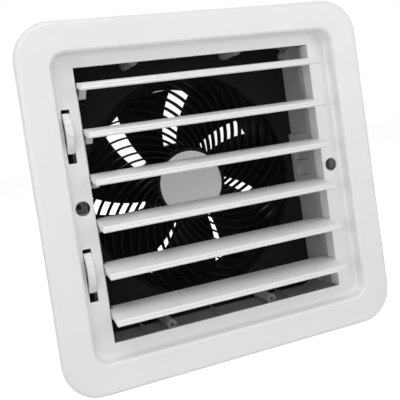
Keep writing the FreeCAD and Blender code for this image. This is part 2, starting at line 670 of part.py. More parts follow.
# Strip that closes the louvre bearings behind a cheek
def build_pivot_strip(document, s, p, name, side):
    body = new_body(document, name)
    start = p.open_half if side > 0 else -(p.open_half + s.lip_wall)
    strip = Drawing(body, f"{name}_outline", "YZ_Plane", start)
    strip.rectangle(s.strip_depth, s.opening_height, (p.lip_end + p.strip_end) / 2)
    pad(body, strip, s.lip_wall, f"{name}_strip", forward=True)
    feet = Drawing(body, f"{name}_feet_outline", "XZ_Plane", p.lip_end)
    holes = Drawing(body, f"{name}_hole_outline", "XZ_Plane", p.lip_end)
    for height in p.foot_z:
        feet.rectangle(s.foot_reach, s.foot_height, p.foot_x * side, height)
        holes.circle(s.small_shank + s.hole_clearance, p.foot_x * side, height)
    pad(body, feet, s.foot_thick, f"{name}_feet")
    pocket(body, holes, f"{name}_holes")
    bearings = Drawing(body, f"{name}_bearing_outline", "YZ_Plane", start)
    slots = Drawing(body, f"{name}_slot_outline", "YZ_Plane", start)
    radius = s.stub_radius + s.stub_clearance
    for height in p.pivots:
        bearings.circle(radius, p.pivot_y, height)
        slots.rectangle(s.pivot_back * 2, radius * 2, p.lip_end, height)
    pocket(body, bearings, f"{name}_bearings", both=True)
    pocket(body, slots, f"{name}_slots", both=True)


# Dark housing: box, corner ears, duct walls, fixing towers and bosses
def build_fan_housing(document, s, p):
    body = new_body(document, "fan_housing")
    depth = p.plate_front - p.panel_back
    box = Drawing(body, "box_outline", "XZ_Plane", p.panel_back)
    box.rounded(s.box_width, s.box_height, s.box_corner)
    pad(body, box, depth, "box")
    ears = Drawing(body, "ear_outline", "XZ_Plane", p.frame_boss_end)
    ears.rounded(s.box_width, s.box_height, s.frame_boss_radius)
    pad(body, ears, s.ear_thick, "corner_ears")
    inside = Drawing(body, "inside_outline", "XZ_Plane", p.panel_back)
    wall = s.box_wall * 2
    inside.rounded(s.box_width - wall, s.box_height - wall, s.box_corner - s.box_wall)
    pocket(body, inside, "inside", depth)

    walls = Drawing(body, "duct_wall_outline", "XZ_Plane", p.duct_start)
    towers = Drawing(body, "tower_outline", "XZ_Plane", p.duct_start)
    blocks = Drawing(body, "block_outline", "XZ_Plane", p.block_front)
    box_side = s.box_width / 2 - s.box_wall / 2
    block_start = p.open_half + s.lip_wall + s.block_clear
    for side in (-1, 1):
        walls.rectangle(s.duct_wall, s.duct_height, (p.duct_half + s.duct_wall / 2) * side)
        tower_start = p.duct_half - s.tower_reach
        towers.rectangle(box_side - tower_start, s.tower_height, (box_side + tower_start) / 2 * side)
        blocks.rectangle(box_side - block_start, s.block_height, (box_side + block_start) / 2 * side)
    pad(body, walls, p.plate_front - p.duct_start, "duct_walls")
    pad(body, towers, p.plate_front - p.duct_start, "towers")
    pad(body, blocks, p.duct_start - p.block_front + s.duct_wall, "fixing_blocks")

    bosses = Drawing(body, "boss_outline", "XZ_Plane", p.plate_front - s.boss_length)
    ribs = Drawing(body, "rib_outline", "XZ_Plane", p.plate_front - s.rib_length)
    corners = Drawing(body, "corner_boss_outline", "XZ_Plane", p.plate_front - s.corner_boss_length)
    for end in (-1, 1):
        for side in (-1, 1):
            bosses.circle(s.boss_radius, s.boss_x * side, p.boss_z * end)
            corners.circle(s.corner_boss, p.corner_x * side, p.corner_z * end)
        for step in (-1, 0, 1):
            ribs.rectangle(s.rib_thick, s.rib_tall + s.box_wall / 2, s.rib_spread * step,
                           (p.floor_z - s.rib_tall / 2 + s.box_wall / 4) * end)
    pad(body, bosses, s.boss_length, "floor_bosses")
    pad(body, ribs, s.rib_length, "floor_ribs")
    pad(body, corners, s.corner_boss_length, "corner_bosses")

    pockets = Drawing(body, "pocket_outline", "XZ_Plane", p.block_front)
    fixings = Drawing(body, "fixing_outline", "XZ_Plane", p.pocket_floor)
    side_pockets = Drawing(body, "side_pocket_outline", "YZ_Plane", -(p.duct_half - s.tower_reach))
    opposite = Drawing(body, "opposite_pocket_outline", "YZ_Plane", p.duct_half - s.tower_reach)
    for side in (-1, 1):
        pockets.rectangle(s.pocket_width, s.pocket_height, p.fixing_x * side)
        fixings.circle(s.fixing_hole_radius, p.fixing_x * side)
    pocket_middle = (p.duct_start + p.plate_front) / 2
    for height in (s.side_pocket_rise, -s.side_pocket_drop):
        side_pockets.rectangle(s.side_pocket_depth, s.side_pocket_height, pocket_middle, height)
        opposite.rectangle(s.side_pocket_depth, s.side_pocket_height, pocket_middle, height)
    pocket(body, pockets, "block_pockets", s.pocket_depth)
    pocket(body, fixings, "fixing_holes")
    pocket(body, side_pockets, "left_tower_pockets", s.side_pocket_sink)
    pocket(body, opposite, "right_tower_pockets", s.side_pocket_sink, reverse=True)
    boss_holes = Drawing(body, "boss_hole_outline", "XZ_Plane", p.plate_front - s.boss_length)
    ear_holes = Drawing(body, "ear_hole_outline", "XZ_Plane", p.frame_boss_end)
    pilots = Drawing(body, "corner_pilot_outline", "XZ_Plane", p.plate_front)
    for side in (-1, 1):
        for end in (-1, 1):
            boss_holes.circle(s.boss_hole, s.boss_x * side, p.boss_z * end)
            ear_holes.circle(s.screw_shank + s.hole_clearance, s.frame_screw_x * side, s.frame_screw_z * end)
            pilots.circle(s.screw_shank + s.pilot_fit, p.corner_x * side, p.corner_z * end)
    pocket(body, boss_holes, "boss_holes", s.boss_hole_depth)
    pocket(body, ear_holes, "ear_holes", s.ear_thick)
    pocket(body, pilots, "corner_pilots", s.corner_boss_length, reverse=True)


# Fan shroud: back plate with a bell-mouthed barrel
def build_fan_shroud(document, s, p):
    body = new_body(document, "fan_shroud")
    front = p.plate_back
    back = front + s.barrel_length
    bell = s.mouth_radius - s.throat_radius
    bell_front = front + s.swirl_depth
    bell_back = bell_front + bell
    throat_back = bell_back + s.throat_length
    outer = s.barrel_bore + s.barrel_wall
    outer_bell = s.mouth_radius - outer
    rim = s.mouth_radius + s.barrel_wall
    flare = s.barrel_bore + s.barrel_flare
    plate = Drawing(body, "plate_outline", "XZ_Plane", p.plate_front)
    plate.rounded(s.box_width, s.box_height, s.box_corner)
    plate.circle(s.mouth_radius)
    pad(body, plate, s.plate_thick, "back_plate")
    turn(
        body,
        [
            (s.mouth_radius, front), (s.mouth_radius, bell_front), (s.throat_radius, bell_back),
            (s.throat_radius, throat_back), (s.barrel_bore, throat_back),
            (s.barrel_bore, back - s.barrel_flare), (flare, back), (flare + s.barrel_wall, back),
            (outer, back - s.barrel_flare), (outer, bell_back), (s.mouth_radius, bell_back - outer_bell),
            (rim, bell_back - outer_bell), (rim, front),
        ],
        "barrel",
        {1: (bell, False), 9: (outer_bell, True)},
    )
    holes = Drawing(body, "shroud_hole_outline", "XZ_Plane", p.plate_front)
    fixings = Drawing(body, "shroud_fixing_outline", "XZ_Plane", p.plate_front)
    for side in (-1, 1):
        fixings.circle(s.fixing_hole_radius, p.fixing_x * side)
        for end in (-1, 1):
            holes.circle(s.screw_shank + s.hole_clearance, p.corner_x * side, p.corner_z * end)
    pocket(body, holes, "shroud_holes", s.plate_thick)
    pocket(body, fixings, "shroud_fixings", s.plate_thick)


# Guard: swirl ribs struck as arcs between an outer ring and the motor cup
def build_fan_guard(document, s, p):
    body = new_body(document, "fan_guard")
    front = p.plate_back
    ring_outer = s.mouth_radius - s.seat_fit
    ring_inner = ring_outer - s.guard_ring
    ring_back = front + s.swirl_depth
    turn(body, [
        (ring_inner, front), (ring_outer, front), (ring_outer, ring_back), (ring_inner, ring_back),
    ], "guard_ring")
    rib = Drawing(body, "swirl_rib_outline", "XZ_Plane", front)
    swirl_rib(rib, s, s.cup_outer - s.swirl_thick / 2, ring_inner + s.guard_ring / 2)
    first = pad(body, rib, s.swirl_depth, "swirl_rib")
    polar(body, first, rib, RIB_COUNT, "swirl_ribs")
    turn(body, [
        (p.cup_inner, front), (s.cup_outer, front), (s.cup_outer, p.cup_back), (p.cup_inner, p.cup_back),
    ], "motor_cup")
    post = Drawing(body, "motor_post_outline", "XZ_Plane", front + s.swirl_depth / 2)
    post.circle(s.motor_ear_radius, 0, s.motor_ear_circle)
    first = pad(body, post, s.motor_cup_depth - s.swirl_depth / 2, "motor_post")
    polar(body, first, post, EAR_COUNT, "motor_posts")
    clear = Drawing(body, "motor_clear_outline", "XZ_Plane", front)
    clear.circle(p.cup_inner)
    pocket(body, clear, "motor_clear", s.motor_cup_depth)
    pilot = Drawing(body, "motor_pilot_outline", "XZ_Plane", p.cup_back)
    pilot.circle(s.screw_shank + s.pilot_fit, 0, s.motor_ear_circle)
    first = pocket(body, pilot, "motor_pilot", s.motor_cup_depth - s.swirl_depth / 2, reverse=True)
    polar(body, first, pilot, EAR_COUNT, "motor_pilots")


# Two concentric arcs from the motor cup to the barrel, closed at both ends
def swirl_rib(drawing, s, inner_radius, outer_radius):
    inner_ring = drawing.circle(inner_radius, helper=True)
    outer_ring = drawing.circle(outer_radius, helper=True)
    centre = Vector(-s.swirl_offset.value * math.sin(math.radians(s.swirl_turn.value)),
                    s.swirl_offset.value * math.cos(math.radians(s.swirl_turn.value)), 0)
    arcs = []
    for half in (-0.5, 0.5):
        radius = s.swirl_radius + s.swirl_thick * half
        ends = [ring_meets_arc(ring.value, centre, radius.value) for ring in (inner_radius, outer_radius)]
        angles = [math.atan2(end.y - centre.y, end.x - centre.x) for end in ends]
        circle = Part.Circle(centre, Vector(0, 0, 1), radius.value)
        arc = drawing.sketch.addGeometry(Part.ArcOfCircle(circle, angles[0], angles[1]))
        drawing.bind("Radius", arc, radius)
        drawing.join("PointOnObject", arc, 1, inner_ring)
        drawing.join("PointOnObject", arc, 2, outer_ring)
        arcs.append((arc, ends))
    across = -s.swirl_offset * sin_of(s.swirl_turn)
    up = s.swirl_offset * cos_of(s.swirl_turn)
    drawing.pin_point(arcs[0][0], 3, across, up)
    drawing.join("Coincident", arcs[0][0], 3, arcs[1][0], 3)
    for end in (0, 1):
        line = drawing.sketch.addGeometry(Part.LineSegment(arcs[0][1][end], arcs[1][1][end]))
        drawing.join("Coincident", line, 1, arcs[0][0], end + 1)
        drawing.join("Coincident", line, 2, arcs[1][0], end + 1)


def ring_meets_arc(ring, centre, radius):
    offset = centre.Length
    along = (ring ** 2 + offset ** 2 - radius ** 2) / (2 * offset)
    side = math.sqrt(ring ** 2 - along ** 2)
    axis = Vector(centre).normalize()
    return axis * along + Vector(axis.y, -axis.x, 0) * side


# Motor: drawn can with a bearing socket and three ears, and its inner works
def build_motor(document, s, p):
    shaft_bore = s.shaft_radius + s.bush_fit
    socket = s.bush_radius + s.seat_fit
    socket_outer = socket + s.socket_wall
    inner = s.motor_radius - s.motor_wall
    floor = p.motor_front + s.motor_wall
    socket_end = floor + s.bush_length

    can = turned(document, "motor_can", [
        (0, p.motor_front), (s.motor_radius, p.motor_front), (s.motor_radius, p.motor_back),
        (inner, p.motor_back), (inner, floor), (socket_outer, floor), (socket_outer, socket_end),
        (socket, socket_end), (socket, floor), (0, floor),
    ])
    ear = Drawing(can, "motor_ear_outline", "XZ_Plane", p.cup_back)
    half = s.motor_ear_radius
    ear.outline(
        [(-half, s.motor_ear_circle), (-half, inner), (half, inner), (half, s.motor_ear_circle)],
        {3: (half * 1.02, True)},
    )
    first = pad(can, ear, s.motor_ear_thick, "motor_ear")
    polar(can, first, ear, EAR_COUNT, "motor_ears")
    hole = Drawing(can, "motor_ear_hole_outline", "XZ_Plane", p.cup_back)
    hole.circle(s.screw_shank + s.hole_clearance, 0, s.motor_ear_circle)
    first = pocket(can, hole, "motor_ear_hole", s.motor_ear_thick)
    polar(can, first, hole, EAR_COUNT, "motor_ear_holes")
    clear = Drawing(can, "motor_inside_outline", "XZ_Plane", p.cup_back)
    clear.circle(inner)
    pocket(can, clear, "motor_inside", s.motor_ear_thick)

    cap_back = p.motor_back + s.cap_thick
    cap_socket = cap_back - s.bush_length
    turned(document, "motor_end_cap", [
        (shaft_bore + s.socket_wall, cap_back), (socket_outer, cap_back), (s.motor_radius, cap_back),
        (s.motor_radius, p.motor_back), (socket_outer, p.motor_back), (socket_outer, cap_socket),
        (socket, cap_socket), (socket, cap_back - s.socket_wall / 2),
        (shaft_bore + s.socket_wall, cap_back - s.socket_wall / 2),
    ])
    bush_back = cap_back - s.socket_wall / 2 - s.seat_fit
    for name, start, end in (
        ("bearing_front", floor + s.seat_fit, socket_end),
        ("bearing_rear", cap_socket, bush_back),
    ):
        turned(document, name, [
            (shaft_bore, start), (s.bush_radius, start), (s.bush_radius, end), (shaft_bore, end)])

    turned(document, "motor_label", [
        (0, p.motor_front - s.label_thick), (s.label_radius, p.motor_front - s.label_thick),
        (s.label_radius, p.motor_front), (0, p.motor_front),
    ])

    shaft_end = p.rotor_back + s.nut_thick + s.socket_wall
    turned(document, "motor_shaft", [
        (0, floor + s.socket_wall), (s.shaft_radius, floor + s.socket_wall),
        (s.shaft_radius, shaft_end - s.socket_wall), (s.shaft_radius - s.socket_wall, shaft_end),
        (0, shaft_end),
    ])
    magnets_middle = (floor + s.bush_length + p.motor_back) / 2
    build_magnets(document, s, inner - s.seat_fit, magnets_middle)
    commutator_start = socket_end + s.motor_wall
    build_armature(document, s, inner, commutator_start + s.commutator_length + s.motor_wall)
    turned(document, "motor_commutator", [
        (s.shaft_radius + s.shaft_fit, commutator_start), (s.commutator_radius, commutator_start),
        (s.commutator_radius, commutator_start + s.commutator_length),
        (s.shaft_radius + s.shaft_fit, commutator_start + s.commutator_length),
    ])
    build_brush_holder(document, s, inner - s.magnet_thick - s.air_gap, floor, socket_outer, commutator_start)


# Two curved magnets, opposite each other against the can
def build_magnets(document, s, outer, middle):
    radius = outer.value
    half = math.radians(s.magnet_angle.value) / 2
    depth = s.magnet_length.value
    solids = []
    for start in (0, math.pi):
        rings = []
        for ring in (radius, radius - s.magnet_thick.value):
            points = [
                Vector(ring * math.cos(start + turn_by), middle.value - depth / 2,
                       ring * math.sin(start + turn_by))
                for turn_by in (-half, 0, half)
            ]
            rings.append((Part.Arc(*points).toShape(), points))
        ends = [Part.makeLine(rings[0][1][i], rings[1][1][i]) for i in (0, 2)]
        wire = Part.Wire(Part.__sortEdges__([rings[0][0], ends[1], rings[1][0], ends[0]]))
        solids.append(Part.Face(wire).extrude(Vector(0, depth, 0)))
    add_shape(document, "motor_magnets", Part.Compound(solids))


# Slotted core on the shaft
def build_armature(document, s, inner, start):
    body = new_body(document, "motor_armature")
    core = Drawing(body, "core_outline", "XZ_Plane", start)
    radius = inner - s.seat_fit - s.magnet_thick - s.air_gap
    core.circle(radius)
    core.circle(s.shaft_radius + s.shaft_fit)
    pad(body, core, s.armature_length, "core")
    slot = Drawing(body, "core_slot_outline", "XZ_Plane", start)
    slot.rectangle(s.motor_wall, s.magnet_thick * 2, 0, radius)
    first = pocket(body, slot, "core_slot", s.armature_length)
    pattern = polar(body, first, slot, 2, "core_slots")
    pattern.setExpression("Occurrences", s.slot_count.text)


# Plate with two brushes that ride on the commutator
def build_brush_holder(document, s, outer, floor, socket_outer, start):
    body = new_body(document, "brush_holder")
    plate = Drawing(body, "brush_plate_outline", "XZ_Plane", floor)
    plate.circle(outer)
    plate.circle(socket_outer + s.air_gap)
    pad(body, plate, s.motor_wall, "brush_plate")
    brushes = Drawing(body, "brush_outline", "XZ_Plane", floor + s.motor_wall)
    near = s.commutator_radius + s.air_gap / 2
    far = outer - s.motor_wall
    for side in (-1, 1):
        post = far - socket_outer - s.air_gap * 2
        brushes.rectangle(post, s.commutator_length, (far - post / 2) * side)
    pad(body, brushes, start - floor - s.motor_wall + s.commutator_length / 2, "brush_posts")
    tips = Drawing(body, "brush_tip_outline", "XZ_Plane", start)
    for side in (-1, 1):
        reach = far - near
        tips.rectangle(reach, s.commutator_length / 2, (near + reach / 2) * side)
    pad(body, tips, s.commutator_length / 2, "brushes")


# Rotor: hub cup with swept and pitched blades that run in the barrel
def build_fan_rotor(document, s, p):
    front, back = p.rotor_front.value, p.rotor_back.value
    hub_radius, wall = s.hub_radius.value, s.hub_wall.value
    bore = s.shaft_radius.value + s.shaft_fit.value
    boss_front = back - wall - s.hub_boss_reach.value
    rounded = wall * 2
    hub_points = [
        (hub_radius - wall, front), (hub_radius, front), (hub_radius, back - rounded),
        (hub_radius - rounded, back), (bore, back), (bore, boss_front), (s.hub_boss.value, boss_front),
        (s.hub_boss.value, back - wall), (hub_radius - rounded - wall, back - wall),
        (hub_radius - wall, back - rounded - wall),
    ]
    tip = s.barrel_bore.value - s.tip_gap.value
    middle = front + (s.blade_depth.value + s.blade_thick.value) / 2
    blades = [
        rotor_blade(s, hub_radius - wall / 2, tip, middle, s.blade_start.value + 360 / BLADE_COUNT * i)
        for i in range(BLADE_COUNT)
    ]
    add_shape(document, "fan_rotor", spun(hub_points).fuse(blades))


def spun(points):
    corners = [Vector(radius, depth, 0) for radius, depth in points]
    wire = Part.makePolygon(corners + [corners[0]])
    return Part.Face(wire).revolve(Vector(), Vector(0, 1, 0), 360)


# A blade's rear surface runs from hub to tip on circles round the axis;
# it trails outwards, is pitched across its angle and hollow on one side
def rotor_blade(s, inner, outer, middle, start):
    rows = 5
    columns = 5
    half_depth = (s.blade_depth.value - s.blade_thick.value) / 2
    grid = []
    for row in range(rows):
        out = row / (rows - 1)
        radius = inner + (outer - inner) * out
        line = []
        for column in range(columns):
            across = 2 * column / (columns - 1) - 1
            angle = math.radians(start - s.blade_sweep.value * out + s.blade_angle.value / 2 * across)
            hollow = s.blade_camber.value * (1 - across ** 2)
            depth = middle - half_depth * across + hollow - s.blade_camber.value / 2
            line.append(Vector(radius * math.cos(angle), depth, radius * math.sin(angle)))
        grid.append(line)
    surface = Part.BSplineSurface()
    surface.interpolate(grid)
    return surface.toShape().makeOffsetShape(s.blade_thick.value, 0.01, fill=True)


def build_rotor_nut(document, s, p):
    body = new_body(document, "rotor_nut")
    nut = Drawing(body, "nut_outline", "XZ_Plane", p.rotor_back)
    corner = s.nut_flats / math.sqrt(3)
    across = s.nut_flats / 2
    nut.outline([
        (corner, 0), (corner / 2, across), (-corner / 2, across),
        (-corner, 0), (-corner / 2, -across), (corner / 2, -across),
    ])
    nut.circle(s.shaft_radius + s.shaft_fit)
    pad(body, nut, s.nut_thick, "nut")


# A pan-head screw at the origin, its head towards +Y
def screw_form(head, shank, length, height):
    head, shank, length, height = head.value, shank.value, length.value, height.value
    crown = height * 0.4
    return spun([
        (0, height), (head - crown, height), (head, height - crown), (head, 0),
        (shank, 0), (shank, -length + shank), (0, -length),
    ])


def screw_group(document, name, form, spots):
    screws = []
    for across, depth, up in spots:
        screw = form.copy()
        screw.Placement = Placement(Vector(across, depth, up), Rotation())
        screws.append(screw)
    add_shape(document, name, Part.Compound(screws))


def build_screws(document, s, p):
    frame_screw = screw_form(s.screw_head, s.screw_shank, s.screw_length, s.head_height)
    strip_screw = screw_form(s.small_head, s.small_shank, s.small_length, s.small_height)
    sides = (-1, 1)
    ear_back = p.frame_boss_end + s.ear_thick
    screw_group(document, "frame_screws", frame_screw, [
        (s.frame_screw_x.value * side, ear_back.value, s.frame_screw_z.value * end)
        for side in sides for end in sides
    ])
    foot_back = p.lip_end + s.foot_thick
    screw_group(document, "strip_screws", strip_screw, [
        (p.foot_x.value * side, foot_back.value, height.value)
        for side in sides for height in p.foot_z
    ])
    screw_group(document, "shroud_screws", frame_screw, [
        (p.corner_x.value * side, p.plate_back.value, p.corner_z.value * end)
        for side in sides for end in sides
    ])
    motor_back = p.cup_back + s.motor_ear_thick
    circle = s.motor_ear_circle.value
    angles = [math.radians(90 + 360 / EAR_COUNT * i) for i in range(EAR_COUNT)]
    screw_group(document, "motor_screws", frame_screw, [
        (circle * math.cos(angle), motor_back.value, circle * math.sin(angle)) for angle in angles
    ])


def add_shape(document, name, shape):
    feature = document.addObject("Part::Feature", name)
    feature.Label = name
    feature.Shape = shape
    feature.Placement = Placement()
    FINISHED.append(feature)


def check_and_write(document):
    document.recompute()
    for item in document.Objects:
        if "Invalid" in item.State or "Error" in item.State:
            raise RuntimeError(f"{item.Label} did not build")
    os.makedirs("parts", exist_ok=True)
    for item in FINISHED:
        if item.Shape.isNull() or not item.Shape.isValid():
            raise RuntimeError(f"{item.Label} has no valid shape")
    for item in FINISHED:
        item.Shape.exportStep(f"parts/{item.Label}.step")
        print(item.Label, len(item.Shape.Solids), round(item.Shape.Volume, 1))


def main():
    document = FreeCAD.newDocument("side_vent_fan")
    s = write_sheet(document)
    p = shared_places(s)
    build_front_frame(document, s, p)
    for number in range(LOUVRE_COUNT):
        build_louvre(document, s, p, number)
    for bank, louvre in zip(("upper", "lower"), DRIVEN):
        build_thumbwheel(document, s, p, f"thumbwheel_{bank}", louvre)
        build_tie_bar(document, s, p, f"tie_bar_{bank}", louvre)
    build_pivot_strip(document, s, p, "pivot_strip_left", -1)
    build_pivot_strip(document, s, p, "pivot_strip_right", 1)
    build_fan_housing(document, s, p)
    build_fan_shroud(document, s, p)
    build_fan_guard(document, s, p)
    build_motor(document, s, p)
    build_fan_rotor(document, s, p)
    build_rotor_nut(document, s, p)
    build_screws(document, s, p)
    check_and_write(document)


main()
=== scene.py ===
import json
import math
from collections import Counter

import bmesh
import bpy
from mathutils import Euler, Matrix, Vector


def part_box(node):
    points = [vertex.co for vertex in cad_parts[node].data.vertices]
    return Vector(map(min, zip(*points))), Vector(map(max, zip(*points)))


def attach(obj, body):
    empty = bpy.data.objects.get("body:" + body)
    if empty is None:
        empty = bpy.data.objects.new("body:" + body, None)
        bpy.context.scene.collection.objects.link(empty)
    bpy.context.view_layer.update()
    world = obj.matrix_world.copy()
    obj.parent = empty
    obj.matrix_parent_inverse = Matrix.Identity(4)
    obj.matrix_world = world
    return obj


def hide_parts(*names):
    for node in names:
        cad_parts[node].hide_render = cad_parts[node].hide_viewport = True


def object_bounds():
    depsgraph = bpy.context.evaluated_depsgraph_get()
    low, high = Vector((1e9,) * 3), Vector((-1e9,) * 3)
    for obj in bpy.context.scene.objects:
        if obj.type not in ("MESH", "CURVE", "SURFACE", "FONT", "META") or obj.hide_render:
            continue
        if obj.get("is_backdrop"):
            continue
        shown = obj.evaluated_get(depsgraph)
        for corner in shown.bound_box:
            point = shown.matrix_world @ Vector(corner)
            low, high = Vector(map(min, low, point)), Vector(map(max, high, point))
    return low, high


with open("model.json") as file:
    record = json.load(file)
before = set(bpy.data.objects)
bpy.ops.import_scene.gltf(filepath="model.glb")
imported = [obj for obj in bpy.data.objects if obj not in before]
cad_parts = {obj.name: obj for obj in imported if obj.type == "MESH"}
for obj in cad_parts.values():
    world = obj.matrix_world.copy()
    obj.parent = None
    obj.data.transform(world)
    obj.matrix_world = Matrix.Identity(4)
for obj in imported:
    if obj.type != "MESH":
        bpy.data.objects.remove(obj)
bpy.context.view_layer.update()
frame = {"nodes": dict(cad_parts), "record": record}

bl_info = {
    "name": "Camper side vent fan",
    "version": (1, 0, 0),
    "blender": (4, 5, 0),
    "location": "View3D > Sidebar > Vent fan",
    "description": "Dresses the CAD frame of a side vent fan with finished pieces and materials",
    "category": "Object",
}

MM = 0.001
SLOT_OF = {row["node"]: row["material_slot"] for row in frame["record"]["subparts"]}
BODY_OF = {
    node: body for body, nodes in frame["record"]["behaviour"]["bodies"].items() for node in nodes}


# Colours are written as sRGB hex and used as linear light
def linear(hex_text):
    parts = [int(hex_text[i:i + 2], 16) / 255 for i in (1, 3, 5)]
    return tuple(p / 12.92 if p <= 0.04045 else ((p + 0.055) / 1.055) ** 2.4 for p in parts)


def add_node(tree, kind, inputs=None, **settings):
    node = tree.nodes.new(kind)
    for name, value in settings.items():
        setattr(node, name, value)
    for socket, value in (inputs or {}).items():
        if isinstance(value, bpy.types.NodeSocket):
            tree.links.new(value, node.inputs[socket])
        else:
            node.inputs[socket].default_value = value
    return node


def empty_material(name):
    material = bpy.data.materials.new(name)
    material.use_nodes = True
    material.node_tree.nodes.clear()
    return material


# A pattern of that many millimetres, for textures that read metres
def per_mm(size):
    return 1000 / size


# Noise textures stay mostly between these two values
NOISE_LOW = 0.3
NOISE_HIGH = 0.7
# Flow marks in millimetres, and how far they change the gloss and the colour
FLOW_MARK = 45
FLOW_GLOSS = 0.05
FLOW_TINT = 0.97
PLASTIC_IOR = 1.52
WORK_GLOSS = 0.07


# Moulded thermoplastic: a spark-eroded tool leaves a fine pebbled skin, so the gloss
# is broken up, and flow marks change it over some centimetres. The grain, in
# millimetres, is drawn coarser than the real one, so that it shows
def moulded_plastic(name, colour, roughness, grain, depth, gloss_level=0.5):
    material = empty_material(name)
    tree = material.node_tree
    place = add_node(tree, "ShaderNodeTexCoord").outputs["Object"]
    pebble = add_node(
        tree, "ShaderNodeTexNoise",
        {"Vector": place, "Scale": per_mm(grain), "Detail": 3.0, "Roughness": 0.6})
    flow_marks = add_node(
        tree, "ShaderNodeTexNoise",
        {"Vector": place, "Scale": per_mm(FLOW_MARK), "Detail": 2.0, "Distortion": 0.4})
    gloss = add_node(
        tree, "ShaderNodeMapRange",
        {"Value": flow_marks.outputs["Fac"], "From Min": NOISE_LOW, "From Max": NOISE_HIGH,
         "To Min": roughness - FLOW_GLOSS, "To Max": roughness + FLOW_GLOSS})
    darker = tuple(part * FLOW_TINT for part in colour)
    tint = add_node(
        tree, "ShaderNodeMix",
        {"Factor": flow_marks.outputs["Fac"], "A": (*colour, 1), "B": (*darker, 1)},
        data_type="RGBA")
    bump = add_node(
        tree, "ShaderNodeBump",
        {"Height": pebble.outputs["Fac"], "Strength": 0.5, "Distance": depth * MM})
    shader = add_node(
        tree, "ShaderNodeBsdfPrincipled",
        {"Base Color": tint.outputs["Result"], "Roughness": gloss.outputs["Result"],
         "Normal": bump.outputs["Normal"], "IOR": PLASTIC_IOR, "Specular IOR Level": gloss_level})
    add_node(tree, "ShaderNodeOutputMaterial", {"Surface": shader.outputs["BSDF"]})
    return material


# Plated, ground or drawn metal: fine marks of the process spread the gloss. They
# too are drawn coarser than the real ones
def worked_metal(name, colour, roughness, mark, depth):
    material = empty_material(name)
    tree = material.node_tree
    place = add_node(tree, "ShaderNodeTexCoord").outputs["Object"]
    marks = add_node(
        tree, "ShaderNodeTexNoise",
        {"Vector": place, "Scale": per_mm(mark), "Detail": 4.0, "Roughness": 0.65})
    gloss = add_node(
        tree, "ShaderNodeMapRange",
        {"Value": marks.outputs["Fac"], "From Min": NOISE_LOW, "From Max": NOISE_HIGH,
         "To Min": roughness - WORK_GLOSS, "To Max": roughness + WORK_GLOSS})
    bump = add_node(
        tree, "ShaderNodeBump",
        {"Height": marks.outputs["Fac"], "Strength": 0.3, "Distance": depth * MM})
    shader = add_node(
        tree, "ShaderNodeBsdfPrincipled",
        {"Base Color": (*colour, 1), "Metallic": 1.0, "Roughness": gloss.outputs["Result"],
         "Normal": bump.outputs["Normal"]})
    add_node(tree, "ShaderNodeOutputMaterial", {"Surface": shader.outputs["BSDF"]})
    return material


class VentColours(bpy.types.PropertyGroup):
    white: bpy.props.FloatVectorProperty(
        name="White", description="ABS of the frame and louvres", subtype="COLOR",
        default=linear("#ececed"))
    grey: bpy.props.FloatVectorProperty(
        name="Grey", description="ABS of the housing and pivot strips", subtype="COLOR",
        default=linear("#bcbabb"))
    black: bpy.props.FloatVectorProperty(
        name="Black", description="Polypropylene of the guard and the rotor, and the motor's enamel",
        subtype="COLOR", default=linear("#1a1a1b"))
    shroud: bpy.props.FloatVectorProperty(
        name="Shroud", description="Textured polypropylene of the shroud", subtype="COLOR",
        default=linear("#2b2b2c"))
    label: bpy.props.FloatVectorProperty(
        name="Label", description="Film on the motor's end", subtype="COLOR",
        default=linear("#e8e8ea"))


class VentSizes(bpy.types.PropertyGroup):
    edge: bpy.props.FloatProperty(
        name="Edge", description="Softness of a moulded edge", unit="LENGTH", default=0.5 * MM)
    slat_edge: bpy.props.FloatProperty(
        name="Slat edge", description="Softness of a louvre's edge", unit="LENGTH", default=0.2 * MM)
    wall_edge: bpy.props.FloatProperty(
        name="Wall edge", description="Softness of a thin wall's edge", unit="LENGTH", default=0.3 * MM)
    metal_edge: bpy.props.FloatProperty(
        name="Metal edge", description="Broken edge of a metal piece", unit="LENGTH", default=0.3 * MM)
    ribs: bpy.props.IntProperty(name="Ribs", description="Swirl ribs of the guard", default=40, min=3)
    rib_thick: bpy.props.FloatProperty(
        name="Rib", description="Thickness of a swirl rib", unit="LENGTH", default=1.7 * MM)
    blades: bpy.props.IntProperty(name="Blades", description="Blades of the rotor", default=7, min=2)
    wheel_edge: bpy.props.FloatProperty(
        name="Wheel edge", description="Softness of a thumbwheel's edge", unit="LENGTH", default=0.7 * MM)


class VentSettings(bpy.types.PropertyGroup):
    colours: bpy.props.PointerProperty(type=VentColours)
    sizes: bpy.props.PointerProperty(type=VentSizes)


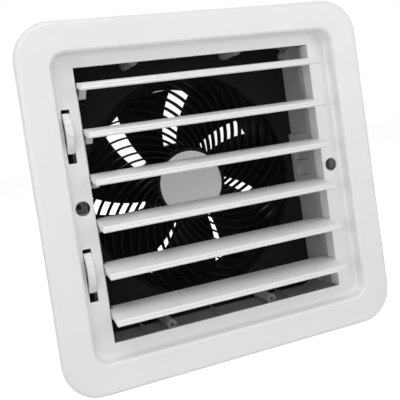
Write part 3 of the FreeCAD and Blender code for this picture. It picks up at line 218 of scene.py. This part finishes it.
# Every finish of the object, by the record's material slot, and the shroud's by its node
def make_finishes(colours):
    return {
        # Satin white: wide soft lights on the frame's rounded edges
        "white_abs": moulded_plastic(
            "white ABS, moulded satin", colours.white, roughness=0.42, grain=0.9, depth=0.02),
        # Duller grey: the housing's inside reads by light and shade alone
        "grey_abs": moulded_plastic(
            "grey ABS, moulded satin", colours.grey, roughness=0.5, grain=0.9, depth=0.04),
        # Black with little gloss: ribs and blades show by thin lights on their edges
        "black_polypropylene": moulded_plastic(
            "black polypropylene", colours.black, roughness=0.6, grain=1.2, depth=0.03, gloss_level=0.08),
        # Coarse texture, which scatters light: the deep barrel shows no gloss
        "fan_shroud": moulded_plastic(
            "black polypropylene, textured", colours.shroud,
            roughness=0.75, grain=1.6, depth=0.06, gloss_level=0.0),
        # Stoved enamel: an even sheen on black
        "black_motor_steel": moulded_plastic(
            "black enamelled steel", colours.black, roughness=0.4, grain=0.8, depth=0.02),
        # Film with a matt coat: an even pale disc
        "silver_label_film": moulded_plastic(
            "silver polyester film", colours.label, roughness=0.4, grain=0.6, depth=0.01),
        # Pressed and fired powder: dark, dull and grainy
        "ferrite": moulded_plastic(
            "sintered ferrite", linear("#2b2b2d"), roughness=0.6, grain=0.5, depth=0.05),
        # Stacked sheets: a grey metal with a broken gloss
        "laminated_steel": worked_metal(
            "laminated steel", linear("#8c8d90"), roughness=0.4, mark=0.4, depth=0.05),
        # Fresh from the lathe: a warm metal with a soft shine
        "copper": worked_metal(
            "turned copper", linear("#b8734a"), roughness=0.3, mark=0.4, depth=0.02),
        # Pressed paper and resin: brown, with little gloss
        "brush_plate": moulded_plastic(
            "phenolic board", linear("#5a4230"), roughness=0.5, grain=0.7, depth=0.04),
        # Ground to size: bright, with tight lights
        "ground_steel": worked_metal(
            "ground steel", linear("#b9babc"), roughness=0.25, mark=0.3, depth=0.01),
        # Porous and oiled: a dull yellow metal
        "sintered_bronze": worked_metal(
            "sintered bronze", linear("#8f7444"), roughness=0.5, mark=0.3, depth=0.04),
        # Plated: pale, with a bright light on each head
        "zinc_plated_steel": worked_metal(
            "zinc-plated steel", linear("#c3c4c6"), roughness=0.3, mark=0.5, depth=0.02),
    }


def finish_of(node):
    return frame["nodes"][node].data.materials[0]


class VENT_OT_finishes(bpy.types.Operator):
    """Give every CAD node its finish"""
    bl_idname = "vent.finishes"
    bl_label = "Finishes"

    def execute(self, context):
        finishes = make_finishes(context.scene.vent.colours)
        for name, node in frame["nodes"].items():
            node.data.materials.clear()
            node.data.materials.append(finishes.get(name, finishes[SLOT_OF[name]]))
        return {"FINISHED"}


# The evaluated mesh of a helper object, which is then removed
def baked(holder):
    depsgraph = bpy.context.evaluated_depsgraph_get()
    mesh = bpy.data.meshes.new_from_object(
        holder.evaluated_get(depsgraph), preserve_all_data_layers=True, depsgraph=depsgraph)
    bpy.data.objects.remove(holder)
    return mesh


def helper(mesh):
    holder = bpy.data.objects.new("helper", mesh)
    bpy.context.scene.collection.objects.link(holder)
    return holder


# A finished piece stands for its node, rides with it and has its finish
def add_piece(name, mesh, node):
    mesh.name = name
    mesh.materials.clear()
    mesh.materials.append(finish_of(node))
    piece = bpy.data.objects.new(name, mesh)
    bpy.context.scene.collection.objects.link(piece)
    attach(piece, BODY_OF[node])
    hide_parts(node)


def mesh_of(form, name="form"):
    for face in form.faces:
        face.smooth = True
    mesh = bpy.data.meshes.new(name)
    form.to_mesh(mesh)
    form.free()
    return mesh


MERGE = 0.001 * MM
FLAT = math.radians(0.5)
LEVEL = math.cos(math.radians(0.05))
CREASE = math.radians(28)
# A flat this many times as large as its neighbour rules the shading between them
RULING = 8


# Rounds the creases of a mesh as a mould does, and keeps its flats flat;
# keeps_sharp tells which edges stay as they are
def with_soft_edges(mesh, width, segments=2, keeps_sharp=None):
    form = bmesh.new()
    form.from_mesh(mesh)
    weight = form.edges.layers.float.new("bevel_weight_edge")
    for edge in form.edges:
        if edge.calc_face_angle() > CREASE and not (keeps_sharp and keeps_sharp(edge)):
            edge[weight] = 1
    holder = helper(mesh_of(form, mesh.name))
    bevel = holder.modifiers.new("soft edges", "BEVEL")
    bevel.width = width
    bevel.segments = segments
    bevel.limit_method = "WEIGHT"
    bevel.use_clamp_overlap = False
    bevel.loop_slide = False
    bevel.miter_outer = "MITER_ARC"
    return with_true_flats(baked(holder))


# Faces that share an edge and a plane, gathered into regions
def level_regions(form):
    regions = []
    taken = set()
    for face in form.faces:
        if face in taken:
            continue
        region = [face]
        taken.add(face)
        for member in region:
            for edge in member.edges:
                for other in edge.link_faces:
                    if other not in taken and abs(other.normal.dot(face.normal)) > LEVEL:
                        taken.add(other)
                        region.append(other)
        regions.append(region)
    return regions


# Fills every flat anew from its outline, and lets it rule the shading along its edge
def with_true_flats(mesh):
    form = bmesh.new()
    form.from_mesh(mesh)
    ruled = {vertex: [] for vertex in form.verts}
    for region in level_regions(form):
        area = sum(face.calc_area() for face in region)
        normal = max(region, key=lambda face: face.calc_area()).normal.copy()
        for vertex in {vertex for face in region for vertex in face.verts}:
            ruled[vertex].append((area, normal))
        members = set(region)
        outline = [
            edge for edge in {edge for face in region for edge in face.edges}
            if any(face not in members for face in edge.link_faces)]
        touching = Counter(vertex for edge in outline for vertex in edge.verts)
        if len(region) > 1 and max(touching.values()) == 2:
            bmesh.ops.delete(form, geom=region, context="FACES_KEEP_BOUNDARY")
            filled = bmesh.ops.triangle_fill(form, use_beauty=True, edges=outline, normal=normal)
            for face in filled["geom"]:
                if isinstance(face, bmesh.types.BMFace) and face.normal.dot(normal) < 0:
                    face.normal_flip()
    normals = []
    for vertex in form.verts:
        rulers = sorted(ruled[vertex], key=lambda ruler: ruler[0], reverse=True)
        clear = len(rulers) > 1 and rulers[0][0] > RULING * rulers[1][0]
        normals.append(rulers[0][1] if clear else Vector())
    finished = mesh_of(form, mesh.name)
    finished.normals_split_custom_set_from_vertices(normals)
    return finished


# A copy of a CAD node, merged, with its creases rounded
def softened(node, width, segments=2, keeps_sharp=None):
    form = bmesh.new()
    form.from_mesh(frame["nodes"][node].data)
    bmesh.ops.remove_doubles(form, verts=form.verts, dist=MERGE)
    bmesh.ops.dissolve_limit(
        form, angle_limit=FLAT, use_dissolve_boundaries=False, verts=form.verts, edges=form.edges)
    bmesh.ops.connect_verts_concave(form, faces=form.faces)
    return with_soft_edges(mesh_of(form, node), width, segments, keeps_sharp)


ROUND_STEPS = 128
SMALL_ROUND_STEPS = 32


# Turned form about the Y axis from a closed loop of radius and depth
def lathed(profile, steps=ROUND_STEPS):
    form = bmesh.new()
    rings = []
    for step in range(steps):
        angle = 2 * math.pi * step / steps
        rings.append([
            form.verts.new((radius * math.cos(angle), depth, radius * math.sin(angle)))
            for radius, depth in profile])
    for step, ring in enumerate(rings):
        following = rings[(step + 1) % steps]
        for i in range(len(profile)):
            after = (i + 1) % len(profile)
            form.faces.new((ring[i], ring[after], following[after], following[i]))
    bmesh.ops.remove_doubles(form, verts=form.verts, dist=MERGE)
    bmesh.ops.recalc_face_normals(form, faces=form.faces)
    return mesh_of(form)


FAN_AXIS = (0, 1, 0)


# Geometry nodes: copies of the object's own mesh, turned round the fan's axis
def ring_tree(name):
    tree = bpy.data.node_groups.new(name, "GeometryNodeTree")
    for socket, kind in (
        ("Geometry", "NodeSocketGeometry"), ("Count", "NodeSocketInt"), ("Finish", "NodeSocketMaterial"),
    ):
        tree.interface.new_socket(name=socket, in_out="INPUT", socket_type=kind)
    tree.interface.new_socket(name="Geometry", in_out="OUTPUT", socket_type="NodeSocketGeometry")
    given = add_node(tree, "NodeGroupInput").outputs
    points = add_node(tree, "GeometryNodePoints", {"Count": given["Count"]})
    step = add_node(tree, "ShaderNodeMath", {0: 2 * math.pi, 1: given["Count"]}, operation="DIVIDE")
    index = add_node(tree, "GeometryNodeInputIndex")
    angle = add_node(
        tree, "ShaderNodeMath", {0: index.outputs["Index"], 1: step.outputs[0]}, operation="MULTIPLY")
    turn = add_node(
        tree, "FunctionNodeAxisAngleToRotation", {"Axis": FAN_AXIS, "Angle": angle.outputs[0]})
    copies = add_node(
        tree, "GeometryNodeInstanceOnPoints",
        {"Points": points.outputs[0], "Instance": given["Geometry"], "Rotation": turn.outputs[0]})
    end_tree(tree, copies.outputs["Instances"], given["Finish"])
    return tree


# Geometry nodes: a fastener at each vertex, each left at another turn
def fastener_tree(name):
    tree = bpy.data.node_groups.new(name, "GeometryNodeTree")
    for socket, kind in (
        ("Places", "NodeSocketGeometry"), ("Fastener", "NodeSocketObject"), ("Finish", "NodeSocketMaterial"),
    ):
        tree.interface.new_socket(name=socket, in_out="INPUT", socket_type=kind)
    tree.interface.new_socket(name="Geometry", in_out="OUTPUT", socket_type="NodeSocketGeometry")
    given = add_node(tree, "NodeGroupInput").outputs
    screw = add_node(tree, "GeometryNodeObjectInfo", {"Object": given["Fastener"]})
    angle = add_node(
        tree, "FunctionNodeRandomValue", {"Max": math.pi / 2, "Seed": 11}, data_type="FLOAT")
    turn = add_node(
        tree, "FunctionNodeAxisAngleToRotation", {"Axis": FAN_AXIS, "Angle": angle.outputs["Value"]})
    copies = add_node(
        tree, "GeometryNodeInstanceOnPoints",
        {"Points": given["Places"], "Instance": screw.outputs["Geometry"], "Rotation": turn.outputs[0]})
    end_tree(tree, copies.outputs["Instances"], given["Finish"])
    return tree


def end_tree(tree, instances, finish):
    real = add_node(tree, "GeometryNodeRealizeInstances", {"Geometry": instances})
    painted = add_node(
        tree, "GeometryNodeSetMaterial", {"Geometry": real.outputs["Geometry"], "Material": finish})
    add_node(tree, "NodeGroupOutput", {"Geometry": painted.outputs["Geometry"]})


def run_tree(tree, mesh, inputs):
    holder = helper(mesh)
    modifier = holder.modifiers.new(tree.name, "NODES")
    modifier.node_group = tree
    for item in tree.interface.items_tree:
        if item.in_out == "INPUT" and item.name in inputs:
            modifier[item.identifier] = inputs[item.name]
    return baked(holder)


PANEL_BACK = 9.6 * MM


# The frame's edges behind the panel, where ribs and bosses stand close
def behind_panel(edge):
    return all(vertex.co.y > PANEL_BACK - MERGE for vertex in edge.verts)


class VENT_OT_frame(bpy.types.Operator):
    """Mould the white frame with its flange, sunk panel and cheeks"""
    bl_idname = "vent.frame"
    bl_label = "Frame"

    def execute(self, context):
        moulding = softened("front_frame", context.scene.vent.sizes.edge, keeps_sharp=behind_panel)
        add_piece("frame_moulding", moulding, "front_frame")
        return {"FINISHED"}


STUB_ROOM = 4 * MM


# A louvre with soft edges, but for those round its thin pivot stubs
def soft_louvre(node, width):
    places = [
        joint["pos_m"] for joint in frame["record"]["behaviour"]["joints"] if joint["child"] == node]
    pivot_y, pivot_z = places[0][1:]

    def at_stub(edge):
        return all(
            math.hypot(vertex.co.y - pivot_y, vertex.co.z - pivot_z) < STUB_ROOM for vertex in edge.verts)

    return softened(node, width, keeps_sharp=at_stub)


class VENT_OT_louvres(bpy.types.Operator):
    """Mould the louvres, their tie bars and pivot strips"""
    bl_idname = "vent.louvres"
    bl_label = "Louvres"

    def execute(self, context):
        sizes = context.scene.vent.sizes
        for node in sorted(frame["nodes"]):
            if node.startswith("louvre_"):
                add_piece(node.replace("louvre", "louvre_slat"), soft_louvre(node, sizes.slat_edge), node)
            elif node.startswith("tie_bar_"):
                add_piece(node.replace("tie_bar", "tie_rod"), softened(node, sizes.wall_edge), node)
            elif node.startswith("pivot_strip_"):
                strip = softened(node, sizes.wall_edge)
                add_piece(node.replace("pivot_strip", "bearing_strip"), strip, node)
        return {"FINISHED"}


class VENT_OT_thumbwheels(bpy.types.Operator):
    """Mould the fluted thumbwheels that steer the louvre banks"""
    bl_idname = "vent.thumbwheels"
    bl_label = "Thumbwheels"

    def execute(self, context):
        for node in ("thumbwheel_upper", "thumbwheel_lower"):
            wheel = softened(node, context.scene.vent.sizes.wheel_edge, segments=3)
            add_piece(node.replace("thumbwheel", "thumb_wheel"), wheel, node)
        return {"FINISHED"}


class VENT_OT_housing(bpy.types.Operator):
    """Mould the grey housing and the shroud with its barrel"""
    bl_idname = "vent.housing"
    bl_label = "Housing"

    def execute(self, context):
        sizes = context.scene.vent.sizes
        add_piece("housing_moulding", softened("fan_housing", sizes.wall_edge), "fan_housing")
        add_piece("shroud_moulding", softened("fan_shroud", sizes.edge), "fan_shroud")
        return {"FINISHED"}


RIB_ARC = 63 * MM
RIB_CENTRE = 51.5 * MM
RIB_TURN = math.radians(4.9)
RIB_DEPTH = 7 * MM
RIB_STEPS = 28
RIB_ROUND_STEPS = 4
GUARD_RING = 1.6 * MM
CUP_RADIUS = 33.6 * MM
CUP_BORE = 31.3 * MM
POST_COUNT = 3
POST_CIRCLE = 36.4 * MM
POST_RADIUS = 4.2 * MM
POST_BORE = 1.52 * MM


# Point of the rib's arc at a radius from the fan's axis, in X and Z
def rib_point(radius):
    along = (radius ** 2 + RIB_CENTRE ** 2 - RIB_ARC ** 2) / (2 * RIB_CENTRE)
    side = math.sqrt(radius ** 2 - along ** 2)
    axis = Vector((-math.sin(RIB_TURN), math.cos(RIB_TURN)))
    return axis * along + Vector((axis.y, -axis.x)) * side


# A swirl rib: a thin blade with round edges, swept along its arc
def swirl_rib(front, inner, outer, thick):
    half = thick / 2
    loop = []
    for end, depth in ((math.pi, half), (0, RIB_DEPTH - half)):
        for step in range(RIB_ROUND_STEPS + 1):
            bend = end + math.pi * step / RIB_ROUND_STEPS
            loop.append((half * math.cos(bend), depth + half * math.sin(bend)))
    centre = Vector((-math.sin(RIB_TURN), math.cos(RIB_TURN))) * RIB_CENTRE
    form = bmesh.new()
    rings = []
    for step in range(RIB_STEPS + 1):
        place = rib_point(inner + (outer - inner) * step / RIB_STEPS)
        away = (place - centre).normalized()
        rings.append([
            form.verts.new((place.x + away.x * side, front + depth, place.y + away.y * side))
            for side, depth in loop])
    for ring, following in zip(rings, rings[1:]):
        for i in range(len(loop)):
            after = (i + 1) % len(loop)
            form.faces.new((ring[i], ring[after], following[after], following[i]))
    form.faces.new(rings[0])
    form.faces.new(rings[-1])
    bmesh.ops.recalc_face_normals(form, faces=form.faces)
    return mesh_of(form)


class VENT_OT_guard(bpy.types.Operator):
    """Mould the swirl guard that carries the motor"""
    bl_idname = "vent.guard"
    bl_label = "Guard"

    def execute(self, context):
        sizes = context.scene.vent.sizes
        low, high = (Vector(corner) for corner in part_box("fan_guard"))
        outer = high.x
        inner = outer - GUARD_RING
        front = low.y
        rib = swirl_rib(front, CUP_RADIUS - sizes.rib_thick / 2, inner + GUARD_RING / 2, sizes.rib_thick)
        ribs = run_tree(
            ring_tree("swirl ribs"), rib, {"Count": sizes.ribs, "Finish": finish_of("fan_guard")})
        ring = lathed([
            (inner, front), (outer, front), (outer, front + RIB_DEPTH), (inner, front + RIB_DEPTH)])
        cup = lathed([
            (CUP_BORE, front), (CUP_RADIUS, front), (CUP_RADIUS, high.y), (CUP_BORE, high.y)])
        post = lathed([
            (POST_BORE, front + RIB_DEPTH / 2), (POST_RADIUS, front + RIB_DEPTH / 2),
            (POST_RADIUS, high.y), (POST_BORE, high.y)], SMALL_ROUND_STEPS)
        for vertex in post.vertices:
            vertex.co.z += POST_CIRCLE
        posts = run_tree(
            ring_tree("motor posts"), with_soft_edges(post, sizes.edge),
            {"Count": POST_COUNT, "Finish": finish_of("fan_guard")})
        add_piece("guard_ribs", ribs, "fan_guard")
        add_piece("motor_posts", posts, "fan_guard")
        add_piece("guard_ring", with_soft_edges(ring, sizes.edge), "fan_guard")
        add_piece("motor_cup", with_soft_edges(cup, sizes.edge), "fan_guard")
        return {"FINISHED"}


class VENT_OT_motor(bpy.types.Operator):
    """Finish the motor's case, cap, label and shaft, and the nut on its end"""
    bl_idname = "vent.motor"
    bl_label = "Motor"

    def execute(self, context):
        sizes = context.scene.vent.sizes
        for node, name in (
            ("motor_can", "motor_case"), ("motor_end_cap", "motor_cap"), ("motor_shaft", "rotor_shaft"),
            ("rotor_nut", "hub_nut"), ("motor_label", "label_film"),
        ):
            width = min(sizes.metal_edge, (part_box(node)[1][1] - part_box(node)[0][1]) / 3)
            add_piece(name, softened(node, width), node)
        return {"FINISHED"}


HUB_RADIUS = 39 * MM
HUB_WALL = 2.5 * MM
HUB_BOSS = 9 * MM
HUB_BOSS_REACH = 4 * MM
HUB_BORE = 4.02 * MM
HUB_FRONT = 87 * MM
HUB_BACK = 110 * MM
TIP_RADIUS = 91.4 * MM
BLADE_DEPTH = 19 * MM
BLADE_ANGLE = math.radians(41)
BLADE_SWEEP = math.radians(17.5)
BLADE_START = math.radians(73.2)
BLADE_THICK = 2.2 * MM
BLADE_CAMBER = 2.5 * MM
BLADE_ROWS = 16
BLADE_COLUMNS = 24


# A rotor blade: swept back, pitched, hollow and thin at its edges
def rotor_blade():
    half_depth = (BLADE_DEPTH - BLADE_THICK) / 2
    middle = HUB_FRONT + BLADE_DEPTH / 2
    inner = HUB_RADIUS - HUB_WALL / 2
    form = bmesh.new()
    rows = []
    for row in range(BLADE_ROWS + 1):
        out = row / BLADE_ROWS
        radius = inner + (TIP_RADIUS - inner) * out
        loop = []
        for side in (1, -1):
            for column in range(BLADE_COLUMNS + 1):
                across = side * (1 - 2 * column / BLADE_COLUMNS)
                angle = BLADE_START - BLADE_SWEEP * out + BLADE_ANGLE / 2 * across
                hollow = BLADE_CAMBER * (0.5 - across ** 2)
                thick = BLADE_THICK / 2 * math.sqrt(max(1 - across ** 6, 0))
                depth = middle - half_depth * across + hollow + thick * side
                if abs(across) < 1 or side > 0:
                    loop.append((radius * math.cos(angle), depth, radius * math.sin(angle)))
        rows.append([form.verts.new(place) for place in loop])
    for row, following in zip(rows, rows[1:]):
        for i in range(len(row)):
            after = (i + 1) % len(row)
            form.faces.new((row[i], row[after], following[after], following[i]))
    form.faces.new(rows[0])
    form.faces.new(rows[-1])
    bmesh.ops.recalc_face_normals(form, faces=form.faces)
    return mesh_of(form)


class VENT_OT_rotor(bpy.types.Operator):
    """Mould the rotor with its swept blades"""
    bl_idname = "vent.rotor"
    bl_label = "Rotor"

    def execute(self, context):
        sizes = context.scene.vent.sizes
        blades = run_tree(
            ring_tree("rotor blades"), rotor_blade(),
            {"Count": sizes.blades, "Finish": finish_of("fan_rotor")})
        rounded = HUB_WALL * 2
        inner = HUB_RADIUS - HUB_WALL
        web = HUB_BACK - HUB_WALL
        boss_front = web - HUB_BOSS_REACH
        hub = lathed([
            (inner, HUB_FRONT), (HUB_RADIUS, HUB_FRONT), (HUB_RADIUS, HUB_BACK - rounded),
            (HUB_RADIUS - rounded, HUB_BACK), (HUB_BORE, HUB_BACK), (HUB_BORE, boss_front),
            (HUB_BOSS, boss_front), (HUB_BOSS, web), (inner - rounded, web), (inner, web - rounded),
        ])
        add_piece("rotor_blades", blades, "fan_rotor")
        add_piece("rotor_hub", with_soft_edges(hub, sizes.edge * 2, segments=3), "fan_rotor")
        return {"FINISHED"}


SCREW_HEAD = 3.3 * MM
SCREW_SHANK = 1.5 * MM
SCREW_LENGTH = 9 * MM
SCREW_HEIGHT = 2.2 * MM
SMALL_HEAD = 2.1 * MM
SMALL_SHANK = 1 * MM
SMALL_LENGTH = 7 * MM
SMALL_HEIGHT = 1.4 * MM
HEAD_STEPS = 6

# Shares of a screw's shank, of its head's height and of its head's radius
TIP_BLUNT = 0.3
TIP_TAPER = 1.6
HEAD_RIM = 0.35
RECESS_DEPTH = 0.7
RECESS_TOP = 1.2
RECESS_WIDTH = 0.11
RECESS_REACH = 0.62
RECESS_DRAFT = 0.72


# Pan-head screw at the origin, its head towards +Y, with a cross recess
def pan_head_screw(head, shank, length, height):
    profile = [
        (0, -length), (shank * TIP_BLUNT, -length + shank * TIP_BLUNT),
        (shank, -length + shank * TIP_TAPER), (shank, 0), (head, 0), (head, height * HEAD_RIM)]
    for step in range(1, HEAD_STEPS + 1):
        bend = math.pi / 2 * step / HEAD_STEPS
        profile.append((head * math.cos(bend), height * (HEAD_RIM + (1 - HEAD_RIM) * math.sin(bend))))
    screw = helper(lathed(profile, SMALL_ROUND_STEPS))
    cut = bmesh.new()
    wide, long = head * RECESS_WIDTH, head * RECESS_REACH
    for across, along in ((wide, long), (long, wide)):
        corners = []
        for depth, spread in ((height * RECESS_TOP, 1.0), (height * (1 - RECESS_DEPTH), RECESS_DRAFT)):
            for x, z in ((-1, -1), (1, -1), (1, 1), (-1, 1)):
                corners.append(cut.verts.new((x * across * spread, depth, z * along * spread)))
        for face in ((0, 1, 2, 3), (7, 6, 5, 4), (0, 4, 5, 1), (1, 5, 6, 2), (2, 6, 7, 3), (3, 7, 4, 0)):
            cut.faces.new([corners[i] for i in face])
    bmesh.ops.recalc_face_normals(cut, faces=cut.faces)
    driver = helper(mesh_of(cut))
    recess = screw.modifiers.new("cross recess", "BOOLEAN")
    recess.object = driver
    recess.use_self = True
    mesh = baked(screw)
    bpy.data.objects.remove(driver)
    mesh.set_sharp_from_angle(angle=CREASE)
    return mesh


# The screws of a node, at the corners of its box
def corner_places(node, head, height):
    low, high = (Vector(corner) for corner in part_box(node))
    seat = high.y - height
    return [(x, seat, z) for x in (low.x + head, high.x - head) for z in (low.z + head, high.z - head)]


class VENT_OT_screws(bpy.types.Operator):
    """Drive the screws that hold frame, strips, shroud and motor"""
    bl_idname = "vent.screws"
    bl_label = "Screws"

    def execute(self, context):
        tree = fastener_tree("screws")
        frame_screw = helper(pan_head_screw(SCREW_HEAD, SCREW_SHANK, SCREW_LENGTH, SCREW_HEIGHT))
        strip_screw = helper(pan_head_screw(SMALL_HEAD, SMALL_SHANK, SMALL_LENGTH, SMALL_HEIGHT))
        high = Vector(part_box("motor_screws")[1])
        circle = high.z - SCREW_HEAD
        turns = [2 * math.pi * post / POST_COUNT for post in range(POST_COUNT)]
        motor_places = [
            (-circle * math.sin(turn), high.y - SCREW_HEIGHT, circle * math.cos(turn)) for turn in turns]
        for node, screw, places in (
            ("frame_screws", frame_screw, corner_places("frame_screws", SCREW_HEAD, SCREW_HEIGHT)),
            ("shroud_screws", frame_screw, corner_places("shroud_screws", SCREW_HEAD, SCREW_HEIGHT)),
            ("strip_screws", strip_screw, corner_places("strip_screws", SMALL_HEAD, SMALL_HEIGHT)),
            ("motor_screws", frame_screw, motor_places),
        ):
            mesh = bpy.data.meshes.new(node)
            mesh.from_pydata(places, [], [])
            screws = run_tree(tree, mesh, {"Fastener": screw, "Finish": finish_of(node)})
            add_piece(node.replace("_screws", "_fasteners"), screws, node)
        for screw in (frame_screw, strip_screw):
            bpy.data.objects.remove(screw)
        return {"FINISHED"}


CAMERA_PLACE = (-0.19733, -0.47083, 0.04531)
CAMERA_TURN = (87.492, 8.3623, -20.3616)
CAMERA_LENS = 55.365
CAMERA_SHIFT = (0.0338, -0.0954)
CAMERA_NEAR = 10 * MM
FLOOR_REACH = 6
FLOOR_GAP = 0.5 * MM
FLOOR_LIFT = 0.8
FILL_LIGHT = 0.15
BACKDROP_LIGHT = 1.0
# Name, place in metres, size in metres and power in watts
LAMPS = (
    ("overhead", (-0.3, -0.7, 1.2), 0.9, 9),
    ("left", (-1.2, -0.45, 0.15), 0.5, 3.1),
    ("right", (0.9, -1.0, 0.4), 0.9, 5),
    ("front", (-0.45, -1.05, 0.1), 0.6, 1.6),
    ("behind", (0.5, 1.3, 0.7), 0.8, 5),
)


# Camera fitted to the view of the photograph
def add_camera(scene):
    data = bpy.data.cameras.new("photo_camera")
    data.lens = CAMERA_LENS
    data.shift_x, data.shift_y = CAMERA_SHIFT
    data.clip_start = CAMERA_NEAR
    camera = bpy.data.objects.new("photo_camera", data)
    camera.location = CAMERA_PLACE
    camera.rotation_euler = Euler([math.radians(angle) for angle in CAMERA_TURN], "XYZ")
    scene.collection.objects.link(camera)
    scene.camera = camera


# Uncoated paper: matt, and lifted to white for the camera, so only the shadow shows
def pale_paper():
    material = empty_material("pale paper floor")
    tree = material.node_tree
    shader = add_node(
        tree, "ShaderNodeBsdfPrincipled",
        {"Base Color": (*linear("#f6f6f6"), 1), "Roughness": 0.9, "Specular IOR Level": 0.1})
    path = add_node(tree, "ShaderNodeLightPath")
    lift = add_node(
        tree, "ShaderNodeMath", {0: path.outputs["Is Camera Ray"], 1: FLOOR_LIFT}, operation="MULTIPLY")
    glow = add_node(
        tree, "ShaderNodeEmission", {"Color": (1, 1, 1, 1), "Strength": lift.outputs[0]})
    both = add_node(
        tree, "ShaderNodeAddShader", {0: shader.outputs["BSDF"], 1: glow.outputs["Emission"]})
    add_node(tree, "ShaderNodeOutputMaterial", {"Surface": both.outputs["Shader"]})
    return material


def add_floor(scene):
    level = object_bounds()[0][2] - FLOOR_GAP
    mesh = bpy.data.meshes.new("floor")
    corners = [(x * FLOOR_REACH, y * FLOOR_REACH, level) for x, y in ((-1, -1), (1, -1), (1, 1), (-1, 1))]
    mesh.from_pydata(corners, [], [(0, 1, 2, 3)])
    mesh.materials.append(pale_paper())
    floor = bpy.data.objects.new("floor", mesh)
    scene.collection.objects.link(floor)
    floor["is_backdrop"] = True


# White studio: bright where it is seen or mirrored, and a weak fill for the rest
def add_surroundings(scene):
    scene.world = bpy.data.worlds.new("studio")
    scene.world.use_nodes = True
    tree = scene.world.node_tree
    tree.nodes.clear()
    path = add_node(tree, "ShaderNodeLightPath")
    clear = add_node(
        tree, "ShaderNodeMath",
        {0: path.outputs["Is Camera Ray"], 1: path.outputs["Is Transmission Ray"]}, operation="MAXIMUM")
    seen = add_node(
        tree, "ShaderNodeMath", {0: clear.outputs[0], 1: path.outputs["Is Glossy Ray"]}, operation="MAXIMUM")
    strength = add_node(
        tree, "ShaderNodeMapRange",
        {"Value": seen.outputs[0], "To Min": FILL_LIGHT, "To Max": BACKDROP_LIGHT})
    light = add_node(
        tree, "ShaderNodeBackground",
        {"Color": (1, 1, 1, 1), "Strength": strength.outputs["Result"]})
    add_node(tree, "ShaderNodeOutputWorld", {"Surface": light.outputs["Background"]})


# Soft boxes, all aimed at the middle of the fan
def add_lamps(scene):
    for name, place, size, power in LAMPS:
        lamp = bpy.data.lights.new(name, "AREA")
        lamp.energy = power
        lamp.size = size
        holder = bpy.data.objects.new(name, lamp)
        holder.location = place
        holder.rotation_euler = (-Vector(place)).to_track_quat("-Z", "Y").to_euler()
        scene.collection.objects.link(holder)


class VENT_OT_stage(bpy.types.Operator):
    """Set up the camera, floor, lights and background"""
    bl_idname = "vent.stage"
    bl_label = "Stage"

    def execute(self, context):
        context.scene.view_settings.view_transform = "Standard"
        add_camera(context.scene)
        add_floor(context.scene)
        add_surroundings(context.scene)
        add_lamps(context.scene)
        return {"FINISHED"}


class VENT_PT_panel(bpy.types.Panel):
    """List the vent fan's operators"""
    bl_label = "Vent fan"
    bl_idname = "VENT_PT_panel"
    bl_space_type = "VIEW_3D"
    bl_region_type = "UI"
    bl_category = "Vent fan"

    def draw(self, context):
        for step in STEPS:
            self.layout.operator(step.bl_idname)


STEPS = (
    VENT_OT_finishes, VENT_OT_frame, VENT_OT_louvres, VENT_OT_thumbwheels, VENT_OT_housing, VENT_OT_guard,
    VENT_OT_motor, VENT_OT_rotor, VENT_OT_screws, VENT_OT_stage,
)
CLASSES = (VentColours, VentSizes, VentSettings, *STEPS, VENT_PT_panel)


def register():
    for item in CLASSES:
        bpy.utils.register_class(item)
    bpy.types.Scene.vent = bpy.props.PointerProperty(type=VentSettings)


def unregister():
    del bpy.types.Scene.vent
    for item in reversed(CLASSES):
        bpy.utils.unregister_class(item)


def main():
    register()
    bpy.ops.vent.finishes()
    bpy.ops.vent.frame()
    bpy.ops.vent.louvres()
    bpy.ops.vent.thumbwheels()
    bpy.ops.vent.housing()
    bpy.ops.vent.guard()
    bpy.ops.vent.motor()
    bpy.ops.vent.rotor()
    bpy.ops.vent.screws()
    bpy.ops.vent.stage()


if __name__ == "__main__":
    main()
